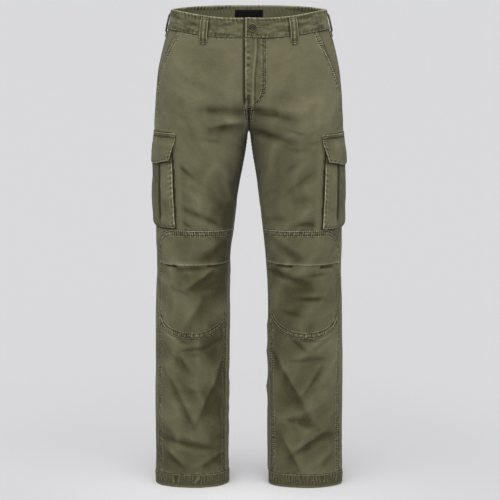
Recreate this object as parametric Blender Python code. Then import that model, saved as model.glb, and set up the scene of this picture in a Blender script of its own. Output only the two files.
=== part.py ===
"""Cargo pants with straight legs, filled out as if worn, with an open waist and open hems.

Metres, +Z up. The front faces -Y, the wearer's left leg is at +X, and the origin is the centre
of the waist, where the wearer holds the garment up.

Every piece lies on one garment surface. A place on it is given by a side (+1 wearer's left,
-1 right), a girth (metres along the section from the outermost line of the leg, positive
towards the front) and a level (height, before the waist's dip at the front). The surface comes
from a table of sections, and the folds are troughs and ridges added along its normal.
"""

import functools
import math

import bmesh
import bpy
import numpy as np
from mathutils import Vector

# ---- driving dimensions, in metres -------------------------------------------------------

CLOTH = 0.0015                 # wall of the twill as it hangs, with its loft
SEAM_GAP = 0.0003              # space between neighbouring pieces at a seam
STEEP_SEAM_GAP = 0.0012        # the same, measured up and down where a seam runs steeply
LAP = 0.0004                   # space between a piece and what it lies on

WAIST_TOP = 0.0235             # top edge of the waistband at the side
BAND_HEIGHT = 0.044
BAND_BOTTOM = WAIST_TOP - BAND_HEIGHT
FRONT_DIP = 0.0165             # how far the centre front lies below the side
BACK_RISE = 0.0078             # how far the centre back lies above the side
DIP_FADES = -0.200             # level at which the dip has died out
DIP_FULL = -0.030              # level above which it is whole

CROTCH = -0.245
HEM_BOTTOM = -1.0545
HEM_HEIGHT = 0.030
HEM_TOP = HEM_BOTTOM + HEM_HEIGHT
HEM_WALL = 2 * CLOTH - SEAM_GAP
HEM_PROUD = 0.0004             # outer face stands off the leg's by the turned edge
RISE_DEPTH = 0.160             # height over which the crotch curve rounds up to the front
RISE_REACH = 0.985             # share of the depth that the centre seam reaches higher up

SQUARENESS = 2.12              # exponent of the superellipse sections

# half sections of the garment: outermost, crest and innermost line in x, front and back in y,
# and fork, the exponent of the inner quarter, which is squarer where the two legs join
SECTION_COLUMNS = ("level", "outer", "crest", "inner", "front", "back", "fork")
SECTIONS = (
    (0.0235, 0.1700, 0.0300, 0.0, 0.0960, 0.0975, 2.40),
    (-0.0205, 0.1800, 0.0330, 0.0, 0.1000, 0.1020, 2.40),
    (-0.0500, 0.1890, 0.0400, 0.0, 0.1035, 0.1100, 2.50),
    (-0.0800, 0.1965, 0.0500, 0.0, 0.1060, 0.1185, 2.60),
    (-0.1150, 0.2032, 0.0630, 0.0, 0.1085, 0.1262, 2.80),
    (-0.1550, 0.2071, 0.0790, 0.0, 0.1105, 0.1300, 3.00),
    (-0.1950, 0.2097, 0.0940, 0.0, 0.1110, 0.1280, 3.10),
    (-0.2250, 0.2115, 0.1035, 0.0, 0.1095, 0.1225, 2.85),
    (-0.2450, 0.2118, 0.1070, 0.0000, 0.1078, 0.1170, 2.50),
    (-0.2500, 0.2116, 0.1073, 0.0026, 0.1074, 0.1158, 2.42),
    (-0.2630, 0.2110, 0.1080, 0.0043, 0.1062, 0.1127, 2.28),
    (-0.2900, 0.2098, 0.1096, 0.0078, 0.1036, 0.1070, 2.12),
    (-0.3500, 0.2088, 0.1140, 0.0182, 0.0985, 0.0992, 2.12),
    (-0.4000, 0.2092, 0.1178, 0.0257, 0.0945, 0.0945, 2.12),
    (-0.4500, 0.2098, 0.1210, 0.0318, 0.0905, 0.0895, 2.12),
    (-0.5000, 0.2098, 0.1232, 0.0365, 0.0865, 0.0835, 2.12),
    (-0.5500, 0.2083, 0.1245, 0.0407, 0.0820, 0.0780, 2.12),
    (-0.6000, 0.2104, 0.1265, 0.0424, 0.0775, 0.0740, 2.12),
    (-0.6500, 0.2116, 0.1272, 0.0428, 0.0735, 0.0712, 2.12),
    (-0.8000, 0.2136, 0.1288, 0.0437, 0.0665, 0.0662, 2.12),
    (-0.9000, 0.2140, 0.1293, 0.0446, 0.0620, 0.0622, 2.12),
    (-1.0545, 0.2143, 0.1299, 0.0455, 0.0585, 0.0585, 2.12),
)

# how far the seams lie in front of the outermost and innermost lines of the leg
SEAM_COLUMNS = ("level", "outseam", "inseam")
SEAM_PLACES = (
    (0.0235, 0.018, 0.000),
    (-0.1000, 0.025, 0.000),
    (-0.1700, 0.029, 0.000),
    (-0.2450, 0.032, 0.000),
    (-0.3000, 0.033, 0.006),
    (-0.5000, 0.036, 0.024),
    (-0.6300, 0.036, 0.030),
    (-0.8600, 0.033, 0.030),
    (-1.0545, 0.030, 0.030),
)

# slash pocket edge: girth at the band, level where it runs into the outseam, and its bow
SLASH_COLUMNS = ("side", "top_girth", "bottom", "bow")
SLASHES = (
    (1, 0.0705, -0.172, 0.007),
    (-1, 0.0645, -0.166, -0.006),
)
HAND_POCKET_DROP = 0.0014       # clear space between the front and the bag behind it
HAND_POCKET_TOP = BAND_BOTTOM - 0.001
HAND_POCKET_BOTTOM = -0.238
HAND_POCKET_WIDTH = 0.130
HAND_POCKET_ROUND = 0.050       # radius of its lower corner
HAND_POCKET_PAST_SEAM = 0.006   # it is caught in the outseam
HAND_POCKET_WALL = 0.0012

# knee seams: level at the outseam, sag at mid width, level at the inseam
KNEE_TOP = (-0.4625, -0.0025, -0.4650)
KNEE_MIDDLE = (-0.5410, 0.001, -0.5400)
KNEE_BOTTOM = (-0.6150, 0.0890, -0.6120)
U_SHAPE = 0.5                  # below 1 gives the knee's bottom seam its flat-bottomed U
KNEE_CORNER = 0.24             # share of the width in which the knee's upper outer corner rounds
KNEE_CORNER_DROP = 0.062

# cargo pocket, on the outer thigh
POCKET_FRONT = 0.104           # girth of the front edge
POCKET_BACK = -0.074
POCKET_TOP = -0.2600
POCKET_BOTTOM = -0.4620
POCKET_ROUND = 0.018           # radius of its lower corners
POCKET_HANG = {1: -0.003, -1: 0.0}   # the left pocket and flap hang a little lower
PLEAT_INSET = 0.040            # pleat groove from each edge
PLEAT_HALF_WIDTH = 0.007
PLEAT_DEPTH = 0.0045
GUSSET_TUCK = 0.004            # the bellows side folds in under the edge
SHOULDER = 0.0060              # width over which the edge of the pocket rounds down
SHOULDER_DROP = 0.0022

# how far the pocket's outer face and the flap's inner face stand off the leg
STAND_COLUMNS = ("level", "stand")
POCKET_STAND = (
    (-0.2600, 0.0074),
    (-0.2860, 0.0085),
    (-0.3300, 0.0094),
    (-0.3900, 0.0098),
    (-0.4260, 0.0102),
    (-0.4620, 0.0082),
)
FLAP_STAND = (
    (-0.2480, 0.0004),
    (-0.2530, 0.0056),
    (-0.2580, 0.0082),
    (-0.2710, 0.0091),
    (-0.2900, 0.0097),
    (-0.3060, 0.0101),
    (-0.3160, 0.0104),
)

FLAP_TOP = FLAP_STAND[0][0]
FLAP_BOTTOM = FLAP_STAND[-1][0]
FLAP_OVERHANG = 0.0100         # past the pocket at each upper corner
FLAP_SLANT = 0.018             # lower corners cut back
FLAP_STRAIGHT = 0.008          # height of the edge above the slant
FLAP_WALL = 0.0018
FLAP_COLUMNS = 15

# waistband and what is on it
BAND_PROUD = 0.0008            # outer face stands off the fronts' face by the seam allowance
BAND_SEAM_GAP = 0.0005
FACING_DROP = 0.0018           # from the band's outer face to the inner layer's
FACING_WALL = 0.0013
FACING_INSET = 0.0012          # below the band's top edge
LAP_END_X = 0.0065             # end of the left band, past the centre front
UNDERLAP_END_X = 0.034         # end of the right band, behind it
LAP_RAMP = 0.075               # length over which the two ends part, one over the other
LAP_LEVEL_RUN = 0.003          # they are fully parted this far before the other's end
LAP_RAISE = 0.0019             # the left end lies on the fly
LAP_SINK = 0.0018              # the right end lies behind it
BAND_COLUMNS = 56
LABEL_WIDTH = 0.066
LABEL_HEIGHT = 0.025
LABEL_BELOW_TOP = 0.010
LABEL_WALL = 0.0010

LOOP_WIDTH = 0.0175
LOOP_WALL = 0.0018
LOOP_STAND = 0.0032            # clear space behind a loop with no belt in it
LOOP_TOP = 0.0010              # below the top edge of the band
LOOP_LENGTH = 0.060
LOOP_FOOT = 0.009              # folded and sewn at each end
LOOP_BEND = 0.0035             # height over which it bends out from its foot
LOOP_EASE = 0.0006             # how far it has left the cloth at the edge of the foot
LOOP_COLUMNS = 4
FRONT_LOOP_X = 0.0950
FRONT_LOOP_SPLAY = 0.005       # its foot is this much further out
SIDE_LOOP_GIRTH = -0.008

FLY_EDGE_X = -0.0060           # free edge of the fly, on the wearer's right of the middle
FLY_STITCH_X = 0.0360
FLY_BOTTOM = -0.1900
FLY_CURVE = 0.055              # height of the curve of the J
ZIP_HALF_WIDTH = 0.014
ZIP_DROP = 0.0013              # clear space between the fronts and the tape
ZIP_TOP = -0.023
ZIP_BOTTOM = -0.160
ZIP_WALL = 0.0012

BUTTON_X = 0.0082
BUTTON_LEVEL = 0.0015
BUTTON_STEPS = 24
# half outline of the button, from its back to the middle of its face
BUTTON_COLUMNS = ("radius", "height")
BUTTON_PROFILE = (
    (0.0000, 0.0000),
    (0.0036, 0.0000),
    (0.0036, 0.0010),
    (0.0082, 0.0010),
    (0.0088, 0.0017),
    (0.0088, 0.0026),
    (0.0082, 0.0034),
    (0.0070, 0.0034),
    (0.0062, 0.0027),
    (0.0030, 0.0027),
    (0.0000, 0.0027),
)

# folds of the cloth: a trough (negative) or ridge from one end to the other, seen from the
# front or back in metres, x being positive outwards from the middle of the garment
FOLD_COLUMNS = ("side", "face", "x0", "z0", "x1", "z1", "half_width", "height")
FOLDS = (
    # front of the wearer's right leg, from the crotch down
    (-1, 1, 0.106, -0.192, 0.024, -0.203, 0.010, -0.0025),
    (-1, 1, 0.096, -0.213, 0.030, -0.221, 0.009, 0.0020),
    (-1, 1, 0.026, -0.238, 0.085, -0.243, 0.011, -0.0030),
    (-1, 1, 0.105, -0.378, 0.072, -0.423, 0.012, -0.0025),
    (-1, 1, 0.145, -0.425, 0.089, -0.437, 0.011, -0.0030),
    (-1, 1, 0.163, -0.550, 0.098, -0.552, 0.011, -0.0035),
    (-1, 1, 0.130, -0.592, 0.070, -0.560, 0.012, -0.0040),
    (-1, 1, 0.124, -0.646, 0.070, -0.620, 0.013, -0.0040),
    (-1, 1, 0.070, -0.714, 0.154, -0.742, 0.013, -0.0040),
    (-1, 1, 0.178, -0.728, 0.134, -0.792, 0.012, -0.0030),
    (-1, 1, 0.075, -0.760, 0.118, -0.905, 0.013, -0.0035),
    (-1, 1, 0.141, -0.839, 0.128, -0.905, 0.012, 0.0025),
    (-1, 1, 0.176, -0.941, 0.086, -0.963, 0.013, -0.0035),
    # front of the wearer's left leg
    (1, 1, 0.024, -0.195, 0.089, -0.206, 0.010, -0.0025),
    (1, 1, 0.024, -0.248, 0.094, -0.267, 0.012, -0.0030),
    (1, 1, 0.105, -0.447, 0.149, -0.452, 0.011, -0.0025),
    (1, 1, 0.075, -0.571, 0.133, -0.577, 0.012, -0.0040),
    (1, 1, 0.108, -0.627, 0.161, -0.619, 0.012, -0.0040),
    (1, 1, 0.085, -0.717, 0.150, -0.727, 0.011, -0.0030),
    (1, 1, 0.090, -0.760, 0.168, -0.767, 0.013, -0.0040),
    (1, 1, 0.120, -0.846, 0.154, -0.787, 0.012, -0.0030),
    (1, 1, 0.078, -0.885, 0.150, -0.906, 0.013, -0.0035),
    (1, 1, 0.098, -0.980, 0.180, -0.942, 0.013, -0.0035),
    # back of both legs: under the seat, behind the knee and above the hem
    (0, -1, 0.030, -0.232, 0.120, -0.262, 0.013, -0.0035),
    (0, -1, 0.060, -0.292, 0.150, -0.315, 0.012, -0.0025),
    (-1, -1, 0.090, -0.520, 0.165, -0.531, 0.012, -0.0040),
    (-1, -1, 0.084, -0.566, 0.155, -0.558, 0.012, -0.0040),
    (-1, -1, 0.100, -0.606, 0.170, -0.598, 0.012, -0.0030),
    (1, -1, 0.095, -0.512, 0.160, -0.524, 0.012, -0.0040),
    (1, -1, 0.082, -0.552, 0.160, -0.560, 0.012, -0.0040),
    (1, -1, 0.090, -0.600, 0.165, -0.594, 0.012, -0.0030),
    (-1, -1, 0.100, -0.860, 0.160, -0.885, 0.013, -0.0030),
    (1, -1, 0.095, -0.880, 0.160, -0.855, 0.013, -0.0030),
    (0, -1, 0.095, -0.955, 0.170, -0.968, 0.013, -0.0030),
)
SEAM_CALM = (0.002, 0.020)     # folds fade to nothing from the second distance to a seam
FOLD_FACING = (0.15, 0.60)     # and where the cloth turns away to the side
FOLD_TAPER = 0.25              # how far a fold has sunk at each end

MATERIAL_COLUMNS = ("name", "colour", "roughness", "metallic")
MATERIALS = (
    ("olive_twill", (0.145, 0.139, 0.080), 0.92, 0.0),
    ("olive_twill_inner", (0.118, 0.112, 0.064), 0.95, 0.0),
    ("black_label", (0.012, 0.012, 0.012), 0.80, 0.0),
    ("zip_tape", (0.080, 0.078, 0.050), 0.85, 0.0),
    ("button_metal", (0.060, 0.055, 0.040), 0.45, 0.8),
)

# rows and columns of the panels
PANEL_COLUMNS = 13
SEAT_LEVEL = -0.170            # rows are even from the band down to here
CROTCH_LEVELS = (-0.195, -0.215, -0.230, -0.239, CROTCH, -0.252, -0.266)
FORK_BLEND = (-0.330, -0.285)  # levels between which the columns become even
FORK_PIVOT_X = 0.045           # distance from the middle within which they follow the crotch
FORK_SHARE = 0.67              # share of the columns outside it
HEM_COLUMNS = 32

PATH_STEPS = 240               # points with which a half section is measured
TANGENT_STEP = 0.002           # girth to each side over which its direction is taken
NORMAL_STEP = 0.0015           # and the same for the surface's normal


# ---- the garment surface ---------------------------------------------------------------------


def smooth_column(levels, values):
    """Slopes of a monotone cubic through the column's values, levels rising."""
    steps = np.diff(levels)
    rates = np.diff(values) / steps
    slopes = np.zeros_like(values)
    for i in range(1, len(values) - 1):
        if rates[i - 1] * rates[i] > 0.0:
            before = 2 * steps[i] + steps[i - 1]
            after = steps[i] + 2 * steps[i - 1]
            slopes[i] = (before + after) / (before / rates[i - 1] + after / rates[i])
    slopes[0] = rates[0]
    slopes[-1] = rates[-1]
    return slopes


def read_table(columns, rows):
    """A dictionary of smooth columns against the table's first column."""
    data = np.array(sorted(rows), dtype=float)
    levels = data[:, 0]
    return {
        name: (levels, data[:, i], smooth_column(levels, data[:, i]))
        for i, name in enumerate(columns) if i > 0
    }


def table_value(table, name, level):
    levels, values, slopes = table[name]
    level = min(max(level, levels[0]), levels[-1])
    i = min(max(int(np.searchsorted(levels, level)) - 1, 0), len(levels) - 2)
    step = levels[i + 1] - levels[i]
    t = (level - levels[i]) / step
    return (
        (1 + 2 * t) * (1 - t) ** 2 * values[i]
        + t * (1 - t) ** 2 * step * slopes[i]
        + t * t * (3 - 2 * t) * values[i + 1]
        + t * t * (t - 1) * step * slopes[i + 1]
    )


SECTION_TABLE = read_table(SECTION_COLUMNS, SECTIONS)
SEAM_TABLE = read_table(SEAM_COLUMNS, SEAM_PLACES)


def smoothstep(low, high, value):
    t = np.clip((value - low) / (high - low), 0.0, 1.0)
    return t * t * (3 - 2 * t)


def rise_share(level):
    """Share of the section's depth at which it meets the middle plane, 0 at the crotch."""
    k = min(max((level - CROTCH) / RISE_DEPTH, 0.0), 1.0)
    return RISE_REACH * math.sqrt(1.0 - (1.0 - k) ** 3)


@functools.lru_cache(maxsize=None)
def half_section(level, toward):
    """Girth and points of the half section on the front (toward 1) or back (toward -1)."""
    outer = table_value(SECTION_TABLE, "outer", level)
    crest = table_value(SECTION_TABLE, "crest", level)
    fork = table_value(SECTION_TABLE, "fork", level)
    if level >= CROTCH:
        inward = crest / (1.0 - rise_share(level) ** fork) ** (1.0 / fork)
    else:
        inward = crest - table_value(SECTION_TABLE, "inner", level)
    depth = table_value(SECTION_TABLE, "front" if toward > 0 else "back", level)
    turn = np.linspace(0.0, math.pi, PATH_STEPS + 1)
    cosine = np.cos(turn)
    power = 2.0 / np.where(cosine >= 0.0, SQUARENESS, fork)
    reach = np.where(cosine >= 0.0, outer - crest, inward)
    x = crest + reach * np.sign(cosine) * np.abs(cosine) ** power
    y = -toward * depth * np.abs(np.sin(turn)) ** power
    girth = np.concatenate(([0.0], np.cumsum(np.hypot(np.diff(x), np.diff(y)))))
    return girth, x, y


def dip(level, y):
    """Height added near the waist, which is lower in front and higher behind."""
    weight = smoothstep(DIP_FADES, DIP_FULL, level)
    front = table_value(SECTION_TABLE, "front", level)
    back = table_value(SECTION_TABLE, "back", level)
    ahead = np.clip(-y / front, 0.0, 1.1)
    behind = np.clip(y / back, 0.0, 1.1)
    return weight * (BACK_RISE * behind ** 1.5 - FRONT_DIP * ahead ** 3)


def fold_height(side, face, x, z):
    """Sum of the folds at places seen from the front (face 1) or back (face -1)."""
    total = np.zeros_like(x)
    for row in FOLDS:
        fold = dict(zip(FOLD_COLUMNS, row))
        if fold["side"] not in (0, side) or fold["face"] != face:
            continue
        run = np.array([fold["x1"] - fold["x0"], fold["z1"] - fold["z0"]])
        length = float(np.hypot(*run))
        along = ((x - fold["x0"]) * run[0] + (z - fold["z0"]) * run[1]) / length ** 2
        across = ((x - fold["x0"]) * run[1] - (z - fold["z0"]) * run[0]) / length
        past = np.maximum(np.maximum(-along, along - 1.0), 0.0) * length
        spread = fold["half_width"]
        taper = 1.0 - FOLD_TAPER * np.clip(2.0 * along - 1.0, -1.0, 1.0) ** 4
        total += fold["height"] * taper * np.exp(-(past ** 2 + across ** 2) / spread ** 2)
    return total


def flat_points(girth, level):
    """Points and outward in-plane normals at one level, before folds, on the leg side x > 0."""
    front_girth, front_x, front_y = half_section(level, 1)
    back_girth, back_x, back_y = half_section(level, -1)
    around = np.concatenate((-back_girth[:0:-1], front_girth))
    x_around = np.concatenate((back_x[:0:-1], front_x))
    y_around = np.concatenate((back_y[:0:-1], front_y))
    full = front_girth[-1] + back_girth[-1]
    place = np.where(girth > front_girth[-1], girth - full, girth)
    place = np.where(place < -back_girth[-1], place + full, place)
    x = np.interp(place, around, x_around)
    y = np.interp(place, around, y_around)
    ahead, behind = place + TANGENT_STEP, place - TANGENT_STEP
    ahead_x = np.interp(ahead, around, x_around) - np.interp(behind, around, x_around)
    ahead_y = np.interp(ahead, around, y_around) - np.interp(behind, around, y_around)
    size = np.hypot(ahead_x, ahead_y)
    return x, y, -ahead_y / size, ahead_x / size


def seam_calm(girth, level):
    """1 in the middle of a panel and 0 at its seams, so that neighbours meet."""
    sewn = outseam(level)
    to_end = np.where(girth > sewn, front_limit(level) - girth, girth - back_limit(level))
    return smoothstep(*SEAM_CALM, np.minimum(np.abs(girth - sewn), to_end))


def place_row(side, girth, level, folds=True):
    """Points of one row of the surface, on the leg side x > 0, as an (n, 3) array."""
    x, y, normal_x, normal_y = flat_points(girth, level)
    z = level + dip(level, y)
    if folds:
        facing = -normal_y
        lift = fold_height(side, 1, x, z) * smoothstep(*FOLD_FACING, facing)
        lift += fold_height(side, -1, x, z) * smoothstep(*FOLD_FACING, -facing)
        lift *= seam_calm(girth, level)
        x = x + lift * normal_x
        y = y + lift * normal_y
    return np.stack((x, y, z), axis=-1)


def layers(side, girth, level, lifts, folds=True):
    """A row of points for each lift, moved out by it along the surface normal, in garment axes."""
    girth = np.asarray(girth, dtype=float)
    points = place_row(side, girth, level, folds)
    ahead = place_row(side, girth + NORMAL_STEP, level, folds)
    behind = place_row(side, girth - NORMAL_STEP, level, folds)
    above = place_row(side, girth, level + NORMAL_STEP, folds)
    below = place_row(side, girth, level - NORMAL_STEP, folds)
    normal = np.cross(above - below, ahead - behind)
    normal /= np.linalg.norm(normal, axis=-1, keepdims=True)
    mirror = np.array((side, 1.0, 1.0))
    return [(points + lift * normal) * mirror for lift in lifts]


def point_layers(side, girth, level, lifts, folds=True):
    """The points at one place, one for each lift."""
    return [row[0] for row in layers(side, [girth], level, lifts, folds)]


def girth_at_x(level, x, toward=1):
    """Girth where the section crosses a distance x from the middle, in front or behind."""
    girth, across, _ = half_section(level, toward)
    inside = np.flatnonzero(across < x)
    if len(inside) == 0:
        return girth[-1]
    i = inside[0]
    share = (across[i - 1] - x) / (across[i - 1] - across[i])
    return girth[i - 1] + share * (girth[i] - girth[i - 1])


@functools.lru_cache(maxsize=None)
def outseam(level):
    return table_value(SEAM_TABLE, "outseam", level)


@functools.lru_cache(maxsize=None)
def front_limit(level):
    """Girth where the front ends: at the middle of the body, and at the inseam of the leg."""
    if level > CROTCH:
        return girth_at_x(level, SEAM_GAP / 2, 1)
    return half_section(level, 1)[0][-1] - table_value(SEAM_TABLE, "inseam", level) - SEAM_GAP / 2


@functools.lru_cache(maxsize=None)
def back_limit(level):
    if level > CROTCH:
        return -girth_at_x(level, SEAM_GAP / 2, -1)
    return -half_section(level, -1)[0][-1] - table_value(SEAM_TABLE, "inseam", level) + SEAM_GAP / 2


def slash_girth(side, level):
    """Edge of the slash pocket, which runs from the band into the outseam."""
    slash = next(dict(zip(SLASH_COLUMNS, row)) for row in SLASHES if row[0] == side)
    bottom = slash["bottom"]
    share = (level - bottom) / (BAND_BOTTOM - bottom)
    if share <= 0.0:
        return outseam(level)
    bow = slash["bow"] * math.sin(math.pi * min(share, 1.0))
    return outseam(bottom) + (slash["top_girth"] - outseam(bottom)) * share + bow


# ---- making solids ---------------------------------------------------------------------------


def clear_scene():
    for obj in list(bpy.data.objects):
        bpy.data.objects.remove(obj, do_unlink=True)


def own_material(node, finish):
    """Each node has its own Principled material in its finish's colour."""
    row = next(dict(zip(MATERIAL_COLUMNS, item)) for item in MATERIALS if item[0] == finish)
    made = bpy.data.materials.new(node)
    made.use_nodes = True
    shader = made.node_tree.nodes["Principled BSDF"]
    shader.inputs["Base Color"].default_value = (*row["colour"], 1.0)
    shader.inputs["Roughness"].default_value = row["roughness"]
    shader.inputs["Metallic"].default_value = row["metallic"]
    return made


def finish_object(name, bm, finish):
    if bm.calc_volume(signed=True) < 0.0:
        bmesh.ops.reverse_faces(bm, faces=bm.faces)
    mesh = bpy.data.meshes.new(name)
    bm.to_mesh(mesh)
    bm.free()
    mesh.shade_smooth()
    mesh.set_sharp_from_angle(angle=math.radians(50))
    obj = bpy.data.objects.new(name, mesh)
    bpy.context.scene.collection.objects.link(obj)
    mesh.materials.append(own_material(name, finish))
    return obj


def cloth_wall(name, outer, inner, finish="olive_twill", ring=False):
    """A closed wall between two (rows, columns, 3) grids of points; a ring joins its ends."""
    outer = np.asarray(outer)
    inner = np.asarray(inner)
    rows, columns = outer.shape[:2]
    bm = bmesh.new()
    bmesh.ops.create_grid(bm, x_segments=columns - 1, y_segments=rows - 1, size=0.5)
    bm.verts.ensure_lookup_table()
    tag = bm.verts.layers.int.new("grid_place")
    for index, vert in enumerate(bm.verts):
        vert[tag] = index
        vert.co = Vector(outer[index // columns][index % columns])
    if ring:
        bmesh.ops.remove_doubles(bm, verts=bm.verts, dist=1e-6)
    bmesh.ops.triangulate(bm, faces=bm.faces, quad_method="FIXED")
    grown = bmesh.ops.extrude_face_region(bm, geom=list(bm.faces))
    for vert in (item for item in grown["geom"] if isinstance(item, bmesh.types.BMVert)):
        index = vert[tag]
        vert.co = Vector(inner[index // columns][index % columns])
    bmesh.ops.recalc_face_normals(bm, faces=bm.faces)
    return finish_object(name, bm, finish)


def column_girth(level, low, high, share):
    """Even columns down the leg; near the crotch only those by the middle move with its curve."""
    even = low + (high - low) * share
    weight = float(smoothstep(*FORK_BLEND, level))
    if weight == 0.0:
        return even
    pivot = girth_at_x(level, FORK_PIVOT_X, 1)
    if high < low:
        pivot = -girth_at_x(level, FORK_PIVOT_X, -1)
    if abs(high) < abs(pivot):
        return even
    if share <= FORK_SHARE:
        split = low + (pivot - low) * share / FORK_SHARE
    else:
        split = pivot + (high - pivot) * (share - FORK_SHARE) / (1.0 - FORK_SHARE)
    return even + (split - even) * weight


def panel(name, side, rows, limits, top=0.0, wall=CLOTH, folds=True):
    """A cloth panel on the surface.

    Each of its rows is a rule that gives the level at a share of the width, limits(level) gives
    the two girths between which the panel lies, and top is how far its outer face stands off.
    """
    outer = []
    inner = []
    for level_of in rows:
        places = []
        for share in np.linspace(0.0, 1.0, PANEL_COLUMNS):
            level = level_of(share)
            girth = column_girth(level, *limits(level), share)
            places.append(point_layers(side, girth, level, (top, top - wall), folds))
        outer.append([pair[0] for pair in places])
        inner.append([pair[1] for pair in places])
    cloth_wall(name, outer, inner)


def flat_levels(*values):
    """Rows that stay at one level all the way across."""
    return [lambda share, value=value: value for value in values]


def corner_drop(share):
    """How far the knee's top seam falls towards the outseam."""
    left = max(1.0 - share / KNEE_CORNER, 0.0)
    return KNEE_CORNER_DROP * (1.0 - math.sqrt(1.0 - left ** 2))


def knee_seam(shape, offset=0.0, flatness=1.0, corner=0.0):
    """Level of a knee seam across the front: its two ends and its sag in between."""
    start, sag, end = shape

    def level(share):
        dome = max(1.0 - (2.0 * share - 1.0) ** 2, 0.0) ** flatness
        return start + (end - start) * share - sag * dome + offset - corner_drop(share) * corner

    return level


def rows_between(upper, lower, count):
    """Row rules that change evenly from the upper seam to the lower one."""
    rules = []
    for i in range(count + 1):
        t = i / count
        rules.append(lambda share, t=t: upper(share) * (1 - t) + lower(share) * t)
    return rules


def even_levels(start, end, count):
    return [start + (end - start) * i / count for i in range(count + 1)]


# ---- legs ------------------------------------------------------------------------------------

SIDE_NAMES = {1: "left", -1: "right"}


def add_front(side):
    name = SIDE_NAMES[side]

    def limits(level):
        return slash_girth(side, level) + SEAM_GAP / 2, front_limit(level)

    seat = even_levels(BAND_BOTTOM - BAND_SEAM_GAP / 2, SEAT_LEVEL, 6)
    seam = knee_seam(KNEE_TOP, STEEP_SEAM_GAP / 2, corner=1)
    thigh = rows_between(lambda share: FORK_BLEND[1], seam, 8)
    panel("front_" + name, side, flat_levels(*seat, *CROTCH_LEVELS) + thigh, limits)

    def leg_limits(level):
        return outseam(level) + SEAM_GAP / 2, front_limit(level)

    top = knee_seam(KNEE_TOP, -STEEP_SEAM_GAP / 2, corner=1)
    middle = knee_seam(KNEE_MIDDLE, SEAM_GAP / 2)
    panel("knee_upper_" + name, side, rows_between(top, middle, 4), leg_limits)
    top = knee_seam(KNEE_MIDDLE, -SEAM_GAP / 2)
    bottom = knee_seam(KNEE_BOTTOM, STEEP_SEAM_GAP / 2, U_SHAPE)
    panel("knee_lower_" + name, side, rows_between(top, bottom, 7), leg_limits)
    top = knee_seam(KNEE_BOTTOM, -STEEP_SEAM_GAP / 2, U_SHAPE)
    hem = knee_seam((HEM_TOP, 0.0, HEM_TOP), SEAM_GAP / 2)
    panel("shin_" + name, side, rows_between(top, hem, 13), leg_limits)


def add_back(side):
    def limits(level):
        return outseam(level) - SEAM_GAP / 2, back_limit(level)

    seat = even_levels(BAND_BOTTOM - BAND_SEAM_GAP / 2, SEAT_LEVEL, 6)
    leg = even_levels(FORK_BLEND[1], HEM_TOP + SEAM_GAP / 2, 22)
    panel("back_" + SIDE_NAMES[side], side, flat_levels(*seat, *CROTCH_LEVELS, *leg), limits)


def add_hem(side):
    """The turned-up hem, a ring of doubled cloth."""
    outer = []
    inner = []
    for level in (HEM_TOP - SEAM_GAP / 2, HEM_BOTTOM + HEM_HEIGHT / 2, HEM_BOTTOM):
        front = half_section(level, 1)[0][-1]
        back = half_section(level, -1)[0][-1]
        girth = np.linspace(-back, front, HEM_COLUMNS + 1)
        face, lining = layers(side, girth, level, (HEM_PROUD, HEM_PROUD - HEM_WALL))
        outer.append([*face[:-1], face[0]])
        inner.append([*lining[:-1], lining[0]])
    cloth_wall("hem_" + SIDE_NAMES[side], outer, inner, ring=True)


# ---- waistband --------------------------------------------------------------------------------


def half_girths(level):
    """Girth from the side to the centre front and to the centre back."""
    return girth_at_x(level, 0.0, 1), girth_at_x(level, 0.0, -1)


def waist_points(share, level, lifts):
    """Points on the waist: share 0 at the centre back, 1 at the centre front by the left side."""
    front, back = half_girths(level)
    side = 1 if share >= 0.0 else -1
    run = abs(share) * (front + back)
    if run > front + back:
        side = -side
        run = 2 * (front + back) - run
    return point_layers(side, run - back, level, lifts)


def lap_lift(share, level):
    """The left end of the band rises towards the centre front and the right end sinks."""
    front, back = half_girths(level)
    left = (1.0 - abs(share)) * (front + back)
    if share > 0.0:
        return LAP_RAISE * smoothstep(LAP_RAMP, UNDERLAP_END_X + LAP_LEVEL_RUN, left)
    return -LAP_SINK * smoothstep(LAP_RAMP, LAP_END_X + LAP_LEVEL_RUN, left)


def band_shares():
    """Columns round the band, from the end of the right half to the end of the left half."""
    front, back = half_girths(BAND_BOTTOM)
    under = UNDERLAP_END_X / (front + back)
    over = LAP_END_X / (front + back)
    return np.linspace(-1.0 - under, 1.0 + over, BAND_COLUMNS + 1)


def waist_layer(name, levels, shares, top, wall, finish):
    """A strip of the waist, whose outer face stands off the surface by top(share, level)."""
    outer = []
    inner = []
    for level in levels:
        places = []
        for share in shares:
            lift = top(share, level)
            places.append(waist_points(share, level, (lift, lift - wall)))
        outer.append([pair[0] for pair in places])
        inner.append([pair[1] for pair in places])
    cloth_wall(name, outer, inner, finish)


def add_waistband():
    bottom = BAND_BOTTOM + BAND_SEAM_GAP / 2
    middle = (bottom + WAIST_TOP) / 2
    waist_layer("waistband", (WAIST_TOP, middle, bottom), band_shares(),
                lambda share, level: BAND_PROUD + lap_lift(share, level), CLOTH, "olive_twill")
    waist_layer("waistband_facing", (WAIST_TOP - FACING_INSET, middle, bottom), band_shares(),
                lambda share, level: BAND_PROUD - FACING_DROP + lap_lift(share, level),
                FACING_WALL, "olive_twill_inner")


def add_label():
    """A bare patch on the inner layer at the centre back."""
    front, back = half_girths(WAIST_TOP)
    half = LABEL_WIDTH / 2 / (front + back)
    face = BAND_PROUD - FACING_DROP - FACING_WALL - LAP
    upper = WAIST_TOP - LABEL_BELOW_TOP
    waist_layer("label_patch", (upper, upper - LABEL_HEIGHT), np.linspace(-half, half, 7),
                lambda share, level: face, LABEL_WALL, "black_label")


# ---- belt loops ------------------------------------------------------------------------------


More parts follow.
